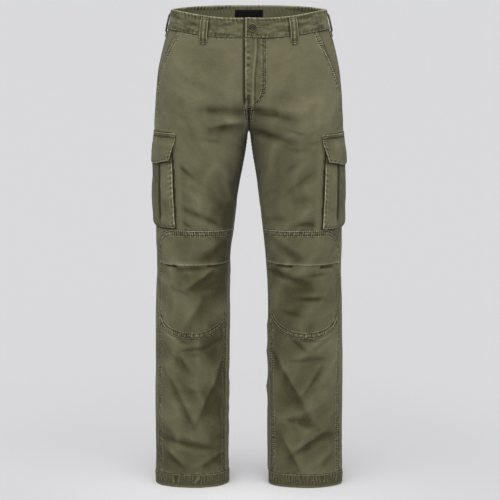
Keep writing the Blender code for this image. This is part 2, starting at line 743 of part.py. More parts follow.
def loop_rises():
    """Height below the loop's top and lift of its inner face, foot to foot."""
    top = BAND_PROUD + LAP
    out = BAND_PROUD + LOOP_STAND
    lower = LOOP_LENGTH - LOOP_FOOT
    return (
        (0.0, top),
        (LOOP_FOOT - LOOP_BEND, top),
        (LOOP_FOOT, top + LOOP_EASE),
        (LOOP_FOOT + LOOP_BEND, out),
        (LOOP_LENGTH / 2, out + LOOP_EASE),
        (lower - LOOP_BEND, out),
        (lower, LAP + LOOP_EASE),
        (lower + LOOP_BEND, LAP),
        (LOOP_LENGTH, LAP),
    )


def add_loop(name, place):
    """A belt loop; place(level, across) gives the side and girth across its width."""
    outer = []
    inner = []
    for drop, lift in loop_rises():
        level = WAIST_TOP - LOOP_TOP - drop
        places = []
        for across in np.linspace(-LOOP_WIDTH / 2, LOOP_WIDTH / 2, LOOP_COLUMNS):
            side, girth = place(level, across)
            places.append(point_layers(side, girth, level, (lift + LOOP_WALL, lift)))
        outer.append([pair[0] for pair in places])
        inner.append([pair[1] for pair in places])
    cloth_wall(name, outer, inner)


def front_loop_girth(level):
    share = (WAIST_TOP - LOOP_TOP - level) / LOOP_LENGTH
    return girth_at_x(level, FRONT_LOOP_X + FRONT_LOOP_SPLAY * share)


def add_belt_loops():
    for side in (1, -1):
        add_loop("belt_loop_front_" + SIDE_NAMES[side],
                 lambda level, across, side=side: (side, front_loop_girth(level) + across))
        add_loop("belt_loop_side_" + SIDE_NAMES[side],
                 lambda level, across, side=side: (side, SIDE_LOOP_GIRTH + across))

    def centre_back(level, across):
        return (1 if across >= 0 else -1), abs(across) - half_girths(level)[1]

    add_loop("belt_loop_back", centre_back)


# ---- fly, zip and button ---------------------------------------------------------------------


def centre_points(x, level, lifts):
    """Points near the middle of the front, at a distance x to the wearer's left."""
    girth = girth_at_x(level, abs(x), 1)
    points = point_layers(1 if x >= 0 else -1, girth, level, lifts, folds=False)
    if x == 0:
        for point in points:
            point[0] = 0.0
    return points


def fly_reach(level):
    """Distance from the middle to the edge of the J at a level."""
    below = max(FLY_BOTTOM + FLY_CURVE - level, 0.0) / FLY_CURVE
    full = FLY_STITCH_X - FLY_EDGE_X
    return full * math.sqrt(max(1.0 - below ** 2, 0.0)) + FLY_EDGE_X


def centre_strip(name, levels, stations, lift, wall, finish):
    outer = []
    inner = []
    for level in levels:
        places = [centre_points(x, level, (lift, lift - wall)) for x in stations(level)]
        outer.append([pair[0] for pair in places])
        inner.append([pair[1] for pair in places])
    cloth_wall(name, outer, inner, finish)


def add_fly():
    top = BAND_BOTTOM - BAND_SEAM_GAP / 2
    straight = even_levels(top, FLY_BOTTOM + FLY_CURVE, 5)
    turns = np.linspace(0.0, math.radians(80), 6)[1:]
    curve = [FLY_BOTTOM + FLY_CURVE * (1.0 - math.sin(turn)) for turn in turns]

    def stations(level):
        reach = fly_reach(level)
        return [FLY_EDGE_X, 0.0, reach / 3, reach * 2 / 3, reach]

    centre_strip("fly", straight + curve, stations, LAP + CLOTH, CLOTH, "olive_twill")
    centre_strip(
        "zip_tape", even_levels(ZIP_TOP, ZIP_BOTTOM, 6),
        lambda level: [-ZIP_HALF_WIDTH, 0.0, ZIP_HALF_WIDTH],
        -CLOTH - ZIP_DROP, ZIP_WALL, "zip_tape")


def add_button():
    """A turned button on the left end of the band."""
    lift = BAND_PROUD + LAP_RAISE + SEAM_GAP
    seat, face = centre_points(BUTTON_X, BUTTON_LEVEL, (lift, lift + BUTTON_PROFILE[-1][1]))
    bm = bmesh.new()
    verts = [bm.verts.new((radius, 0.0, height)) for radius, height in BUTTON_PROFILE]
    edges = [bm.edges.new(pair) for pair in zip(verts, verts[1:])]
    bmesh.ops.spin(bm, geom=verts + edges, cent=(0, 0, 0), axis=(0, 0, 1), angle=2 * math.pi,
                   steps=BUTTON_STEPS, use_merge=True)
    bmesh.ops.remove_doubles(bm, verts=bm.verts, dist=1e-6)
    bmesh.ops.recalc_face_normals(bm, faces=bm.faces)
    button = finish_object("button", bm, "button_metal")
    button.location = Vector(seat)
    button.rotation_euler = Vector(face - seat).to_track_quat("Z", "Y").to_euler()


# ---- pockets ---------------------------------------------------------------------------------

POCKET_STAND_TABLE = read_table(STAND_COLUMNS, POCKET_STAND)


def add_hand_pocket(side):
    """The layer behind the slash: the facing that shows and the bag below it."""

    def limits(level):
        low = outseam(level) - HAND_POCKET_PAST_SEAM
        cut = corner_cut(level, HAND_POCKET_BOTTOM, HAND_POCKET_ROUND)
        return low, low + HAND_POCKET_WIDTH - cut

    straight = even_levels(HAND_POCKET_TOP, HAND_POCKET_BOTTOM + HAND_POCKET_ROUND, 6)
    curve = even_levels(straight[-1], HAND_POCKET_BOTTOM, 3)[1:]
    panel("hand_pocket_" + SIDE_NAMES[side], side, flat_levels(*straight, *curve), limits,
          -CLOTH - HAND_POCKET_DROP, HAND_POCKET_WALL, folds=False)


def corner_cut(level, bottom, radius):
    """How far a rounded lower corner has drawn the edge in at a level."""
    low = max(bottom + radius - level, 0.0) / radius
    return radius * (1.0 - math.sqrt(max(1.0 - low ** 2, 0.0)))


def pocket_stations():
    """Distances across the pocket from its middle, with a column on each side of a pleat."""
    half = (POCKET_FRONT - POCKET_BACK) / 2
    pleat = half - PLEAT_INSET
    right = [0.0, pleat / 2, pleat - PLEAT_HALF_WIDTH, pleat, pleat + PLEAT_HALF_WIDTH,
             half - POCKET_ROUND, half - SHOULDER, half]
    return [-value for value in right[:0:-1]] + right


def pocket_lift(across, level):
    """Height of the pocket's outer face: bellows, two pleats and a soft shoulder."""
    half = (POCKET_FRONT - POCKET_BACK) / 2
    pleat = half - PLEAT_INSET
    stand = table_value(POCKET_STAND_TABLE, "stand", level)
    crease = max(1.0 - abs(abs(across) - pleat) / PLEAT_HALF_WIDTH, 0.0)
    low = smoothstep(POCKET_BOTTOM, POCKET_BOTTOM + POCKET_ROUND, level)
    edge = min(half - abs(across), level - POCKET_BOTTOM)
    soft = (1.0 - smoothstep(0.0, SHOULDER, edge)) * SHOULDER_DROP
    return stand - PLEAT_DEPTH * crease * low - soft


def add_cargo_pocket(side):
    """A bellows pocket, open at the top, with its sides and bottom folded in to the leg."""
    middle = (POCKET_FRONT + POCKET_BACK) / 2
    half = (POCKET_FRONT - POCKET_BACK) / 2
    stations = pocket_stations()
    arc = [POCKET_BOTTOM + POCKET_ROUND * (1.0 - math.sin(turn))
           for turn in np.radians((0, 30, 60, 90))]
    levels = even_levels(POCKET_TOP, arc[0], 7)[:-1] + arc
    columns = len(stations)

    places = []
    for level in levels:
        squeeze = 1.0 - corner_cut(level, POCKET_BOTTOM, POCKET_ROUND) / half
        places.extend((across * squeeze, level, pocket_lift(across, level)) for across in stations)

    def inward(index, distance):
        """The place moved in from the pocket's outline by a distance."""
        across, level, _ = places[index]
        corner = half - POCKET_ROUND
        out_across = math.copysign(max(abs(across) - corner, 0.0), across)
        out_level = min(level - (POCKET_BOTTOM + POCKET_ROUND), 0.0)
        size = math.hypot(out_across, out_level) or 1.0
        return across - out_across / size * distance, level - out_level / size * distance

    bm = bmesh.new()
    bmesh.ops.create_grid(bm, x_segments=columns - 1, y_segments=len(levels) - 1, size=0.5)
    bm.verts.ensure_lookup_table()
    tag = bm.verts.layers.int.new("grid_place")
    for index, vert in enumerate(bm.verts):
        vert[tag] = index

    rim = [edge for edge in bm.edges if edge.is_boundary
           and not all(vert[tag] < columns for vert in edge.verts)]
    on_rim = {vert[tag] for edge in rim for vert in edge.verts}
    grown = bmesh.ops.extrude_edge_only(bm, edges=rim)
    feet = {item for item in grown["geom"] if isinstance(item, bmesh.types.BMVert)}
    foot_tag = bm.verts.layers.int.new("is_foot")
    for vert in bm.verts:
        index = vert[tag]
        if vert in feet:
            vert[foot_tag] = 1
            across, level = inward(index, GUSSET_TUCK)
            vert.co = pocket_point(side, middle + across, level, LAP)
        else:
            across, level, lift = places[index]
            vert.co = pocket_point(side, middle + across, level, lift)
    bmesh.ops.triangulate(bm, faces=bm.faces, quad_method="FIXED")
    thick = bmesh.ops.extrude_face_region(bm, geom=list(bm.faces))
    for vert in (item for item in thick["geom"] if isinstance(item, bmesh.types.BMVert)):
        index = vert[tag]
        lift = places[index][2]
        if vert[foot_tag]:
            across, level = inward(index, GUSSET_TUCK + CLOTH)
            vert.co = pocket_point(side, middle + across, level, LAP)
        elif index in on_rim:
            across, level = inward(index, CLOTH)
            vert.co = pocket_point(side, middle + across, level, lift - CLOTH)
        else:
            across, level, _ = places[index]
            vert.co = pocket_point(side, middle + across, level, lift - CLOTH)
    bmesh.ops.recalc_face_normals(bm, faces=bm.faces)
    finish_object("cargo_pocket_" + SIDE_NAMES[side], bm, "olive_twill")


def pocket_point(side, girth, level, lift):
    """A point of a cargo pocket or flap, which lies on the smooth leg."""
    hung = level + POCKET_HANG[side]
    return Vector(point_layers(side, girth, hung, (lift,), folds=False)[0])


def add_cargo_flap(side):
    """The flap, sewn above the pocket's mouth and standing off over it."""
    half = (POCKET_FRONT - POCKET_BACK) / 2 + FLAP_OVERHANG
    middle = (POCKET_FRONT + POCKET_BACK) / 2
    slant_top = FLAP_TOP - FLAP_STRAIGHT
    outer = []
    inner = []
    for level, stand in FLAP_STAND:
        slant = FLAP_SLANT * max((slant_top - level) / (slant_top - FLAP_BOTTOM), 0.0)
        for rows, lift in ((outer, stand + FLAP_WALL), (inner, stand)):
            rows.append([
                pocket_point(side, middle + across * (half - slant) / half, level, lift)
                for across in np.linspace(-half, half, FLAP_COLUMNS)
            ])
    cloth_wall("cargo_flap_" + SIDE_NAMES[side], outer, inner)


def build():
    clear_scene()
    add_waistband()
    add_label()
    add_belt_loops()
    add_fly()
    add_button()
    for side in (1, -1):
        add_front(side)
        add_back(side)
        add_hem(side)
        add_hand_pocket(side)
        add_cargo_pocket(side)
        add_cargo_flap(side)


build()
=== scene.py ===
"""Looks of a pair of cargo trousers: cloth, sewing, button, light and camera.

Metres, +Z up. The front faces -Y and the wearer's left leg is at +X. Every cloth piece lies on one
garment surface. A place on it is a side (+1 wearer's left, -1 right), a girth (metres along the
section from the outermost line of the leg, positive towards the front) and a level (height, before
the waist's dip at the front).
"""

import math
from functools import partial

import bmesh
import bpy
import numpy as np
from mathutils import Matrix, Vector


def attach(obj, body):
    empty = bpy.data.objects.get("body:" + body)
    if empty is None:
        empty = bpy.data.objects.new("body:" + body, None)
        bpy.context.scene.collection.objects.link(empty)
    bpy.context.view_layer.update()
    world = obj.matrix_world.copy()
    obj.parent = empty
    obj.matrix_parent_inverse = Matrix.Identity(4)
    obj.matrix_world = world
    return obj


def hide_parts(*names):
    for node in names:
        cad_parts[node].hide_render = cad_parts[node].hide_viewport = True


bl_info = {
    "name": "Cargo Trousers",
    "version": (1, 0, 0),
    "blender": (4, 5, 0),
    "location": "View3D > Sidebar > Trousers",
    "description": "Dresses a pair of cargo trousers in washed cotton twill",
    "category": "Object",
}

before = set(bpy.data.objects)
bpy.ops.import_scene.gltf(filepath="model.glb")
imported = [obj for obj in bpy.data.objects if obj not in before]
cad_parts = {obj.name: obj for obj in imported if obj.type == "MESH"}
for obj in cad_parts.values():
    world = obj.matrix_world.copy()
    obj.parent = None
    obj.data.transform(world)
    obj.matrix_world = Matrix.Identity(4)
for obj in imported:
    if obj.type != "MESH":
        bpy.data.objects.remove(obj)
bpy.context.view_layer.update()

BODY = "root"
SIDE_NAMES = {1: "left", -1: "right"}
SIDES = (1, -1)
METRES_TO_MM = 1000.0

# ---- form of the garment ---------------------------------------------------------------------

SEAM_GAP = 0.0003
WAIST_TOP = 0.0235             # top edge of the waistband at the side
BAND_HEIGHT = 0.044
BAND_BOTTOM = WAIST_TOP - BAND_HEIGHT
FRONT_DIP = 0.0165             # how far the centre front lies below the side
BACK_RISE = 0.0078             # how far the centre back lies above the side
DIP_FADES = -0.200
DIP_FULL = -0.030
CROTCH = -0.245
HEM_BOTTOM = -1.0545
HEM_HEIGHT = 0.030
HEM_TOP = HEM_BOTTOM + HEM_HEIGHT
RISE_DEPTH = 0.160             # height over which the crotch curve rounds up to the front
RISE_REACH = 0.985
SQUARENESS = 2.12              # exponent of the superellipse sections

# half sections: outermost, crest and innermost line in x, front and back in y, and fork, the
# exponent of the inner quarter, which is squarer where the two legs join
SECTION_COLUMNS = ("level", "outer", "crest", "inner", "front", "back", "fork")
SECTIONS = (
    (0.0235, 0.1700, 0.0300, 0.0, 0.0960, 0.0975, 2.40),
    (-0.0205, 0.1800, 0.0330, 0.0, 0.1000, 0.1020, 2.40),
    (-0.0500, 0.1890, 0.0400, 0.0, 0.1035, 0.1100, 2.50),
    (-0.0800, 0.1965, 0.0500, 0.0, 0.1060, 0.1185, 2.60),
    (-0.1150, 0.2032, 0.0630, 0.0, 0.1085, 0.1262, 2.80),
    (-0.1550, 0.2071, 0.0790, 0.0, 0.1105, 0.1300, 3.00),
    (-0.1950, 0.2097, 0.0940, 0.0, 0.1110, 0.1280, 3.10),
    (-0.2250, 0.2115, 0.1035, 0.0, 0.1095, 0.1225, 2.85),
    (-0.2450, 0.2118, 0.1070, 0.0000, 0.1078, 0.1170, 2.50),
    (-0.2500, 0.2116, 0.1073, 0.0026, 0.1074, 0.1158, 2.42),
    (-0.2630, 0.2110, 0.1080, 0.0043, 0.1062, 0.1127, 2.28),
    (-0.2900, 0.2098, 0.1096, 0.0078, 0.1036, 0.1070, 2.12),
    (-0.3500, 0.2088, 0.1140, 0.0182, 0.0985, 0.0992, 2.12),
    (-0.4000, 0.2092, 0.1178, 0.0257, 0.0945, 0.0945, 2.12),
    (-0.4500, 0.2098, 0.1210, 0.0318, 0.0905, 0.0895, 2.12),
    (-0.5000, 0.2098, 0.1232, 0.0365, 0.0865, 0.0835, 2.12),
    (-0.5500, 0.2083, 0.1245, 0.0407, 0.0820, 0.0780, 2.12),
    (-0.6000, 0.2104, 0.1265, 0.0424, 0.0775, 0.0740, 2.12),
    (-0.6500, 0.2116, 0.1272, 0.0428, 0.0735, 0.0712, 2.12),
    (-0.8000, 0.2136, 0.1288, 0.0437, 0.0665, 0.0662, 2.12),
    (-0.9000, 0.2140, 0.1293, 0.0446, 0.0620, 0.0622, 2.12),
    (-1.0545, 0.2143, 0.1299, 0.0455, 0.0585, 0.0585, 2.12),
)

# how far the seams lie in front of the outermost and innermost lines of the leg
SEAM_COLUMNS = ("level", "outseam", "inseam")
SEAM_PLACES = (
    (0.0235, 0.018, 0.000),
    (-0.1000, 0.025, 0.000),
    (-0.1700, 0.029, 0.000),
    (-0.2450, 0.032, 0.000),
    (-0.3000, 0.033, 0.006),
    (-0.5000, 0.036, 0.024),
    (-0.6300, 0.036, 0.030),
    (-0.8600, 0.033, 0.030),
    (-1.0545, 0.030, 0.030),
)

# slash pocket edge: girth at the band, level where it runs into the outseam, and its bow
SLASHES = {1: (0.0705, -0.172, 0.007), -1: (0.0645, -0.166, -0.006)}

# knee seams: level at the outseam, sag at mid width, level at the inseam, how round the sag is
# (far below 1 it is a flat-bottomed U) and whether the outer corner is rounded
KNEE_SEAMS = {
    "top": (-0.4625, -0.0025, -0.4650, 1.0, True),
    "middle": (-0.5410, 0.001, -0.5400, 1.0, False),
    "bottom": (-0.6150, 0.0965, -0.6120, 0.27, False),
}
KNEE_CORNER = 0.24             # share of the width in which the knee's upper outer corner rounds
KNEE_CORNER_DROP = 0.062

POCKET_FRONT = 0.1005
POCKET_BACK = -0.074
POCKET_TOP = -0.2600
POCKET_BOTTOM = -0.4560
POCKET_ROUND = 0.007
POCKET_HANG = {1: -0.003, -1: 0.0}
PLEAT_INSET = 0.040
STAND_COLUMNS = ("level", "stand")
POCKET_STAND = (
    (-0.2600, 0.0018), (-0.2650, 0.0027), (-0.2710, 0.0037), (-0.2840, 0.0058),
    (-0.2970, 0.0068), (-0.3100, 0.0074), (-0.3300, 0.0083), (-0.3600, 0.0092),
    (-0.3900, 0.0091), (-0.4100, 0.0087), (-0.4300, 0.0078), (-0.4450, 0.0068),
    (-0.4620, 0.0040),
)
FLAP_STAND = (
    (-0.2480, 0.0003), (-0.2530, 0.0012), (-0.2580, 0.0021), (-0.2650, 0.0032),
    (-0.2710, 0.0043), (-0.2840, 0.0064), (-0.2970, 0.0075), (-0.3160, 0.0083),
)
FLAP_TOP = FLAP_STAND[0][0]
FLAP_BOTTOM = FLAP_STAND[-1][0]
FLAP_OVERHANG = 0.0128
FLAP_SLANT = 0.0222
FLAP_STRAIGHT = 0.008

PATH_STEPS = 240               # points with which a half section is measured
GRID_STEP = 0.002              # level between the rows that are measured
GRID_COLUMNS = 420             # places kept on each half of a row
RISE_ROWS = 90                 # rows up the crotch curve, closest together at its foot
NORMAL_STEP = 0.0015           # over which a normal is taken
FORK_PIVOT_X = 0.045           # columns this near the middle follow the crotch curve
FORK_SHARE = 0.67              # share of the columns outside it
FORK_BLEND = (-0.330, -0.285)  # levels between which the columns become even


def smooth_curve(levels, values):
    """A monotone cubic through the values, as a function of the level."""
    steps = np.diff(levels)
    rates = np.diff(values) / steps
    slopes = np.zeros_like(values)
    slopes[0], slopes[-1] = rates[0], rates[-1]
    for i in range(1, len(values) - 1):
        if rates[i - 1] * rates[i] > 0.0:
            before = 2 * steps[i] + steps[i - 1]
            after = steps[i] + 2 * steps[i - 1]
            slopes[i] = (before + after) / (before / rates[i - 1] + after / rates[i])

    def value(level):
        level = np.clip(level, levels[0], levels[-1])
        i = np.clip(np.searchsorted(levels, level) - 1, 0, len(levels) - 2)
        step = levels[i + 1] - levels[i]
        t = (level - levels[i]) / step
        return (
            (1 + 2 * t) * (1 - t) ** 2 * values[i]
            + t * (1 - t) ** 2 * step * slopes[i]
            + t * t * (3 - 2 * t) * values[i + 1]
            + t * t * (t - 1) * step * slopes[i + 1]
        )

    return value


def read_table(columns, rows):
    """A smooth function of the level for each column of a table."""
    data = np.array(sorted(rows), dtype=float)
    return {name: smooth_curve(data[:, 0], data[:, i]) for i, name in enumerate(columns) if i}


def smoothstep(low, high, value):
    t = np.clip((value - low) / (high - low), 0.0, 1.0)
    return t * t * (3 - 2 * t)


def bell(distance, width):
    return np.exp(-((distance / width) ** 2))


def strip(distance, low, high, soft=0.001):
    """1 between two distances from a line, and 0 outside."""
    return smoothstep(low - soft, low + soft, distance) - smoothstep(
        high - soft, high + soft, distance)


SECTION = read_table(SECTION_COLUMNS, SECTIONS)
SEAM = read_table(SEAM_COLUMNS, SEAM_PLACES)
pocket_stand = read_table(STAND_COLUMNS, POCKET_STAND)["stand"]
flap_stand = read_table(STAND_COLUMNS, FLAP_STAND)["stand"]

GRID_LEVELS = np.unique(np.round(np.concatenate((
    np.arange(HEM_BOTTOM - 0.008, CROTCH, GRID_STEP),
    CROTCH + RISE_DEPTH * np.linspace(0.0, 1.0, RISE_ROWS) ** 2,
    np.arange(CROTCH + RISE_DEPTH, WAIST_TOP + 0.010, GRID_STEP),
)), 6))


def measure_half(toward):
    """Each row's half section: its whole girth, x and y at even places, and three girths.

    They are where the cloth ends, where it crosses the middle, and where the columns part.
    """
    level = GRID_LEVELS[:, None]
    outer, crest, inner, fork = (
        SECTION[name](level) for name in ("outer", "crest", "inner", "fork"))
    depth = SECTION["front" if toward > 0 else "back"](level)
    k = np.clip((level - CROTCH) / RISE_DEPTH, 0.0, 1.0)
    rise = RISE_REACH * np.sqrt(1.0 - (1.0 - k) ** 3)
    above = crest / (1.0 - rise ** fork) ** (1.0 / fork)
    inward = np.where(level >= CROTCH, above, crest - inner)
    cosine = np.cos(np.linspace(0.0, math.pi, PATH_STEPS + 1))[None, :]
    sine = np.sin(np.linspace(0.0, math.pi, PATH_STEPS + 1))[None, :]
    power = 2.0 / np.where(cosine >= 0.0, SQUARENESS, fork)
    reach = np.where(cosine >= 0.0, outer - crest, inward)
    x = crest + reach * np.sign(cosine) * np.abs(cosine) ** power
    y = -toward * depth * np.abs(sine) ** power
    run = np.cumsum(np.hypot(np.diff(x, axis=1), np.diff(y, axis=1)), axis=1)
    run = np.concatenate((np.zeros_like(level), run), axis=1)
    shares = np.linspace(0.0, 1.0, GRID_COLUMNS + 1)
    whole = run[:, -1]
    even_x = np.array([np.interp(shares * g[-1], g, row) for g, row in zip(run, x)])
    even_y = np.array([np.interp(shares * g[-1], g, row) for g, row in zip(run, y)])
    crossings = [np.array([np.interp(-reach, -row, g) for g, row in zip(run, x)])
                 for reach in (SEAM_GAP / 2, 0.0, FORK_PIVOT_X)]
    sewn = whole - SEAM["inseam"](GRID_LEVELS) * toward - SEAM_GAP / 2
    end = np.where(GRID_LEVELS > CROTCH, crossings[0], sewn)
    return whole, even_x, even_y, end, crossings[1], crossings[2]


FRONT_WHOLE, FRONT_X, FRONT_Y, FRONT_END, FRONT_MIDDLE, FRONT_PIVOT = measure_half(1)
BACK_WHOLE, BACK_X, BACK_Y, BACK_END, BACK_MIDDLE, BACK_PIVOT = measure_half(-1)
ROUND_X = np.concatenate((BACK_X[:, :0:-1], FRONT_X), axis=1)
ROUND_Y = np.concatenate((BACK_Y[:, :0:-1], FRONT_Y), axis=1)


def by_level(values):
    return lambda level: np.interp(level, GRID_LEVELS, values)


front_whole, back_whole = by_level(FRONT_WHOLE), by_level(BACK_WHOLE)
front_end, back_end = by_level(FRONT_END), by_level(-BACK_END)
front_middle, back_middle = by_level(FRONT_MIDDLE), by_level(BACK_MIDDLE)
front_pivot, back_pivot = by_level(FRONT_PIVOT), by_level(-BACK_PIVOT)


def flat_place(girth, level):
    """x and y of the smooth form, on the leg side x > 0."""
    girth, level = np.broadcast_arrays(np.asarray(girth, float), np.asarray(level, float))
    front, back = front_whole(level), back_whole(level)
    girth = np.where(girth > front, girth - front - back, girth)
    girth = np.where(girth < -back, girth + front + back, girth)
    column = (1.0 + np.where(girth >= 0.0, girth / front, girth / back)) * GRID_COLUMNS
    c = np.clip(column.astype(int), 0, 2 * GRID_COLUMNS - 1)
    u = column - c
    r = np.clip(np.searchsorted(GRID_LEVELS, level) - 1, 0, len(GRID_LEVELS) - 2)
    v = (level - GRID_LEVELS[r]) / (GRID_LEVELS[r + 1] - GRID_LEVELS[r])

    def blend(grid):
        low = grid[r, c] * (1 - u) + grid[r, c + 1] * u
        high = grid[r + 1, c] * (1 - u) + grid[r + 1, c + 1] * u
        return low * (1 - v) + high * v

    return blend(ROUND_X), blend(ROUND_Y)


def dip(level, y):
    """Height added near the waist, which is lower in front and higher behind."""
    ahead = np.clip(-y / SECTION["front"](level), 0.0, 1.1)
    behind = np.clip(y / SECTION["back"](level), 0.0, 1.1)
    dip = BACK_RISE * behind ** 1.5 - FRONT_DIP * ahead ** 3
    return smoothstep(DIP_FADES, DIP_FULL, level) * dip


def smooth_place(girth, level):
    x, y = flat_place(girth, level)
    return np.stack((x, y, level + dip(level, y)), axis=-1)


def on_form(side, girth, level, lift=0.0):
    """Points of the garment surface moved out by lift, and the surface's normals."""
    girth, level = np.broadcast_arrays(np.asarray(girth, float), np.asarray(level, float))
    along = smooth_place(girth + NORMAL_STEP, level) - smooth_place(girth - NORMAL_STEP, level)
    up = smooth_place(girth, level + NORMAL_STEP) - smooth_place(girth, level - NORMAL_STEP)
    normal = np.cross(up, along)
    normal /= np.linalg.norm(normal, axis=-1, keepdims=True)
    point = smooth_place(girth, level) + np.asarray(lift)[..., None] * normal
    mirror = np.ones(point.shape)
    mirror[..., 0] = side
    return point * mirror, normal * mirror


def girth_at_x(level, x, toward=1):
    """Girth where the form crosses a distance x from the middle, in front or behind."""
    level, x = np.broadcast_arrays(np.asarray(level, float), np.asarray(x, float))
    whole = front_whole(level) if toward > 0 else back_whole(level)
    low, high = np.zeros_like(whole), whole
    for _ in range(22):
        middle = (low + high) / 2
        outside = flat_place(middle * toward, level)[0] > x
        low, high = np.where(outside, middle, low), np.where(outside, high, middle)
    return (low + high) / 2


def slash_girth(side, level):
    """Edge of the slash pocket, which runs from the band into the outseam."""
    top_girth, bottom, bow = SLASHES[side]
    start = SEAM["outseam"](bottom)
    share = np.clip((level - bottom) / (BAND_BOTTOM - bottom), 0.0, 1.0)
    edge = start + (top_girth - start) * share + bow * np.sin(math.pi * share)
    return np.where(level > bottom, edge, SEAM["outseam"](level))


def knee_seam(seam, share):
    """Level of a knee seam across the front, at a share of the way to the inseam."""
    start, sag, end, roundness, corner = KNEE_SEAMS[seam]
    dome = np.clip(1.0 - (2.0 * share - 1.0) ** 2, 0.0, 1.0) ** roundness
    level = start + (end - start) * share - sag * dome
    if corner:
        left = np.clip(1.0 - share / KNEE_CORNER, 0.0, 1.0)
        level = level - KNEE_CORNER_DROP * (1.0 - np.sqrt(1.0 - left ** 2))
    return level


def front_share(girth, level):
    """Share of the way from the outseam to the inseam."""
    low = SEAM["outseam"](level)
    return np.clip((girth - low) / (front_end(level) - low), 0.0, 1.0)


# ---- creases, puckers and fading -------------------------------------------------------------

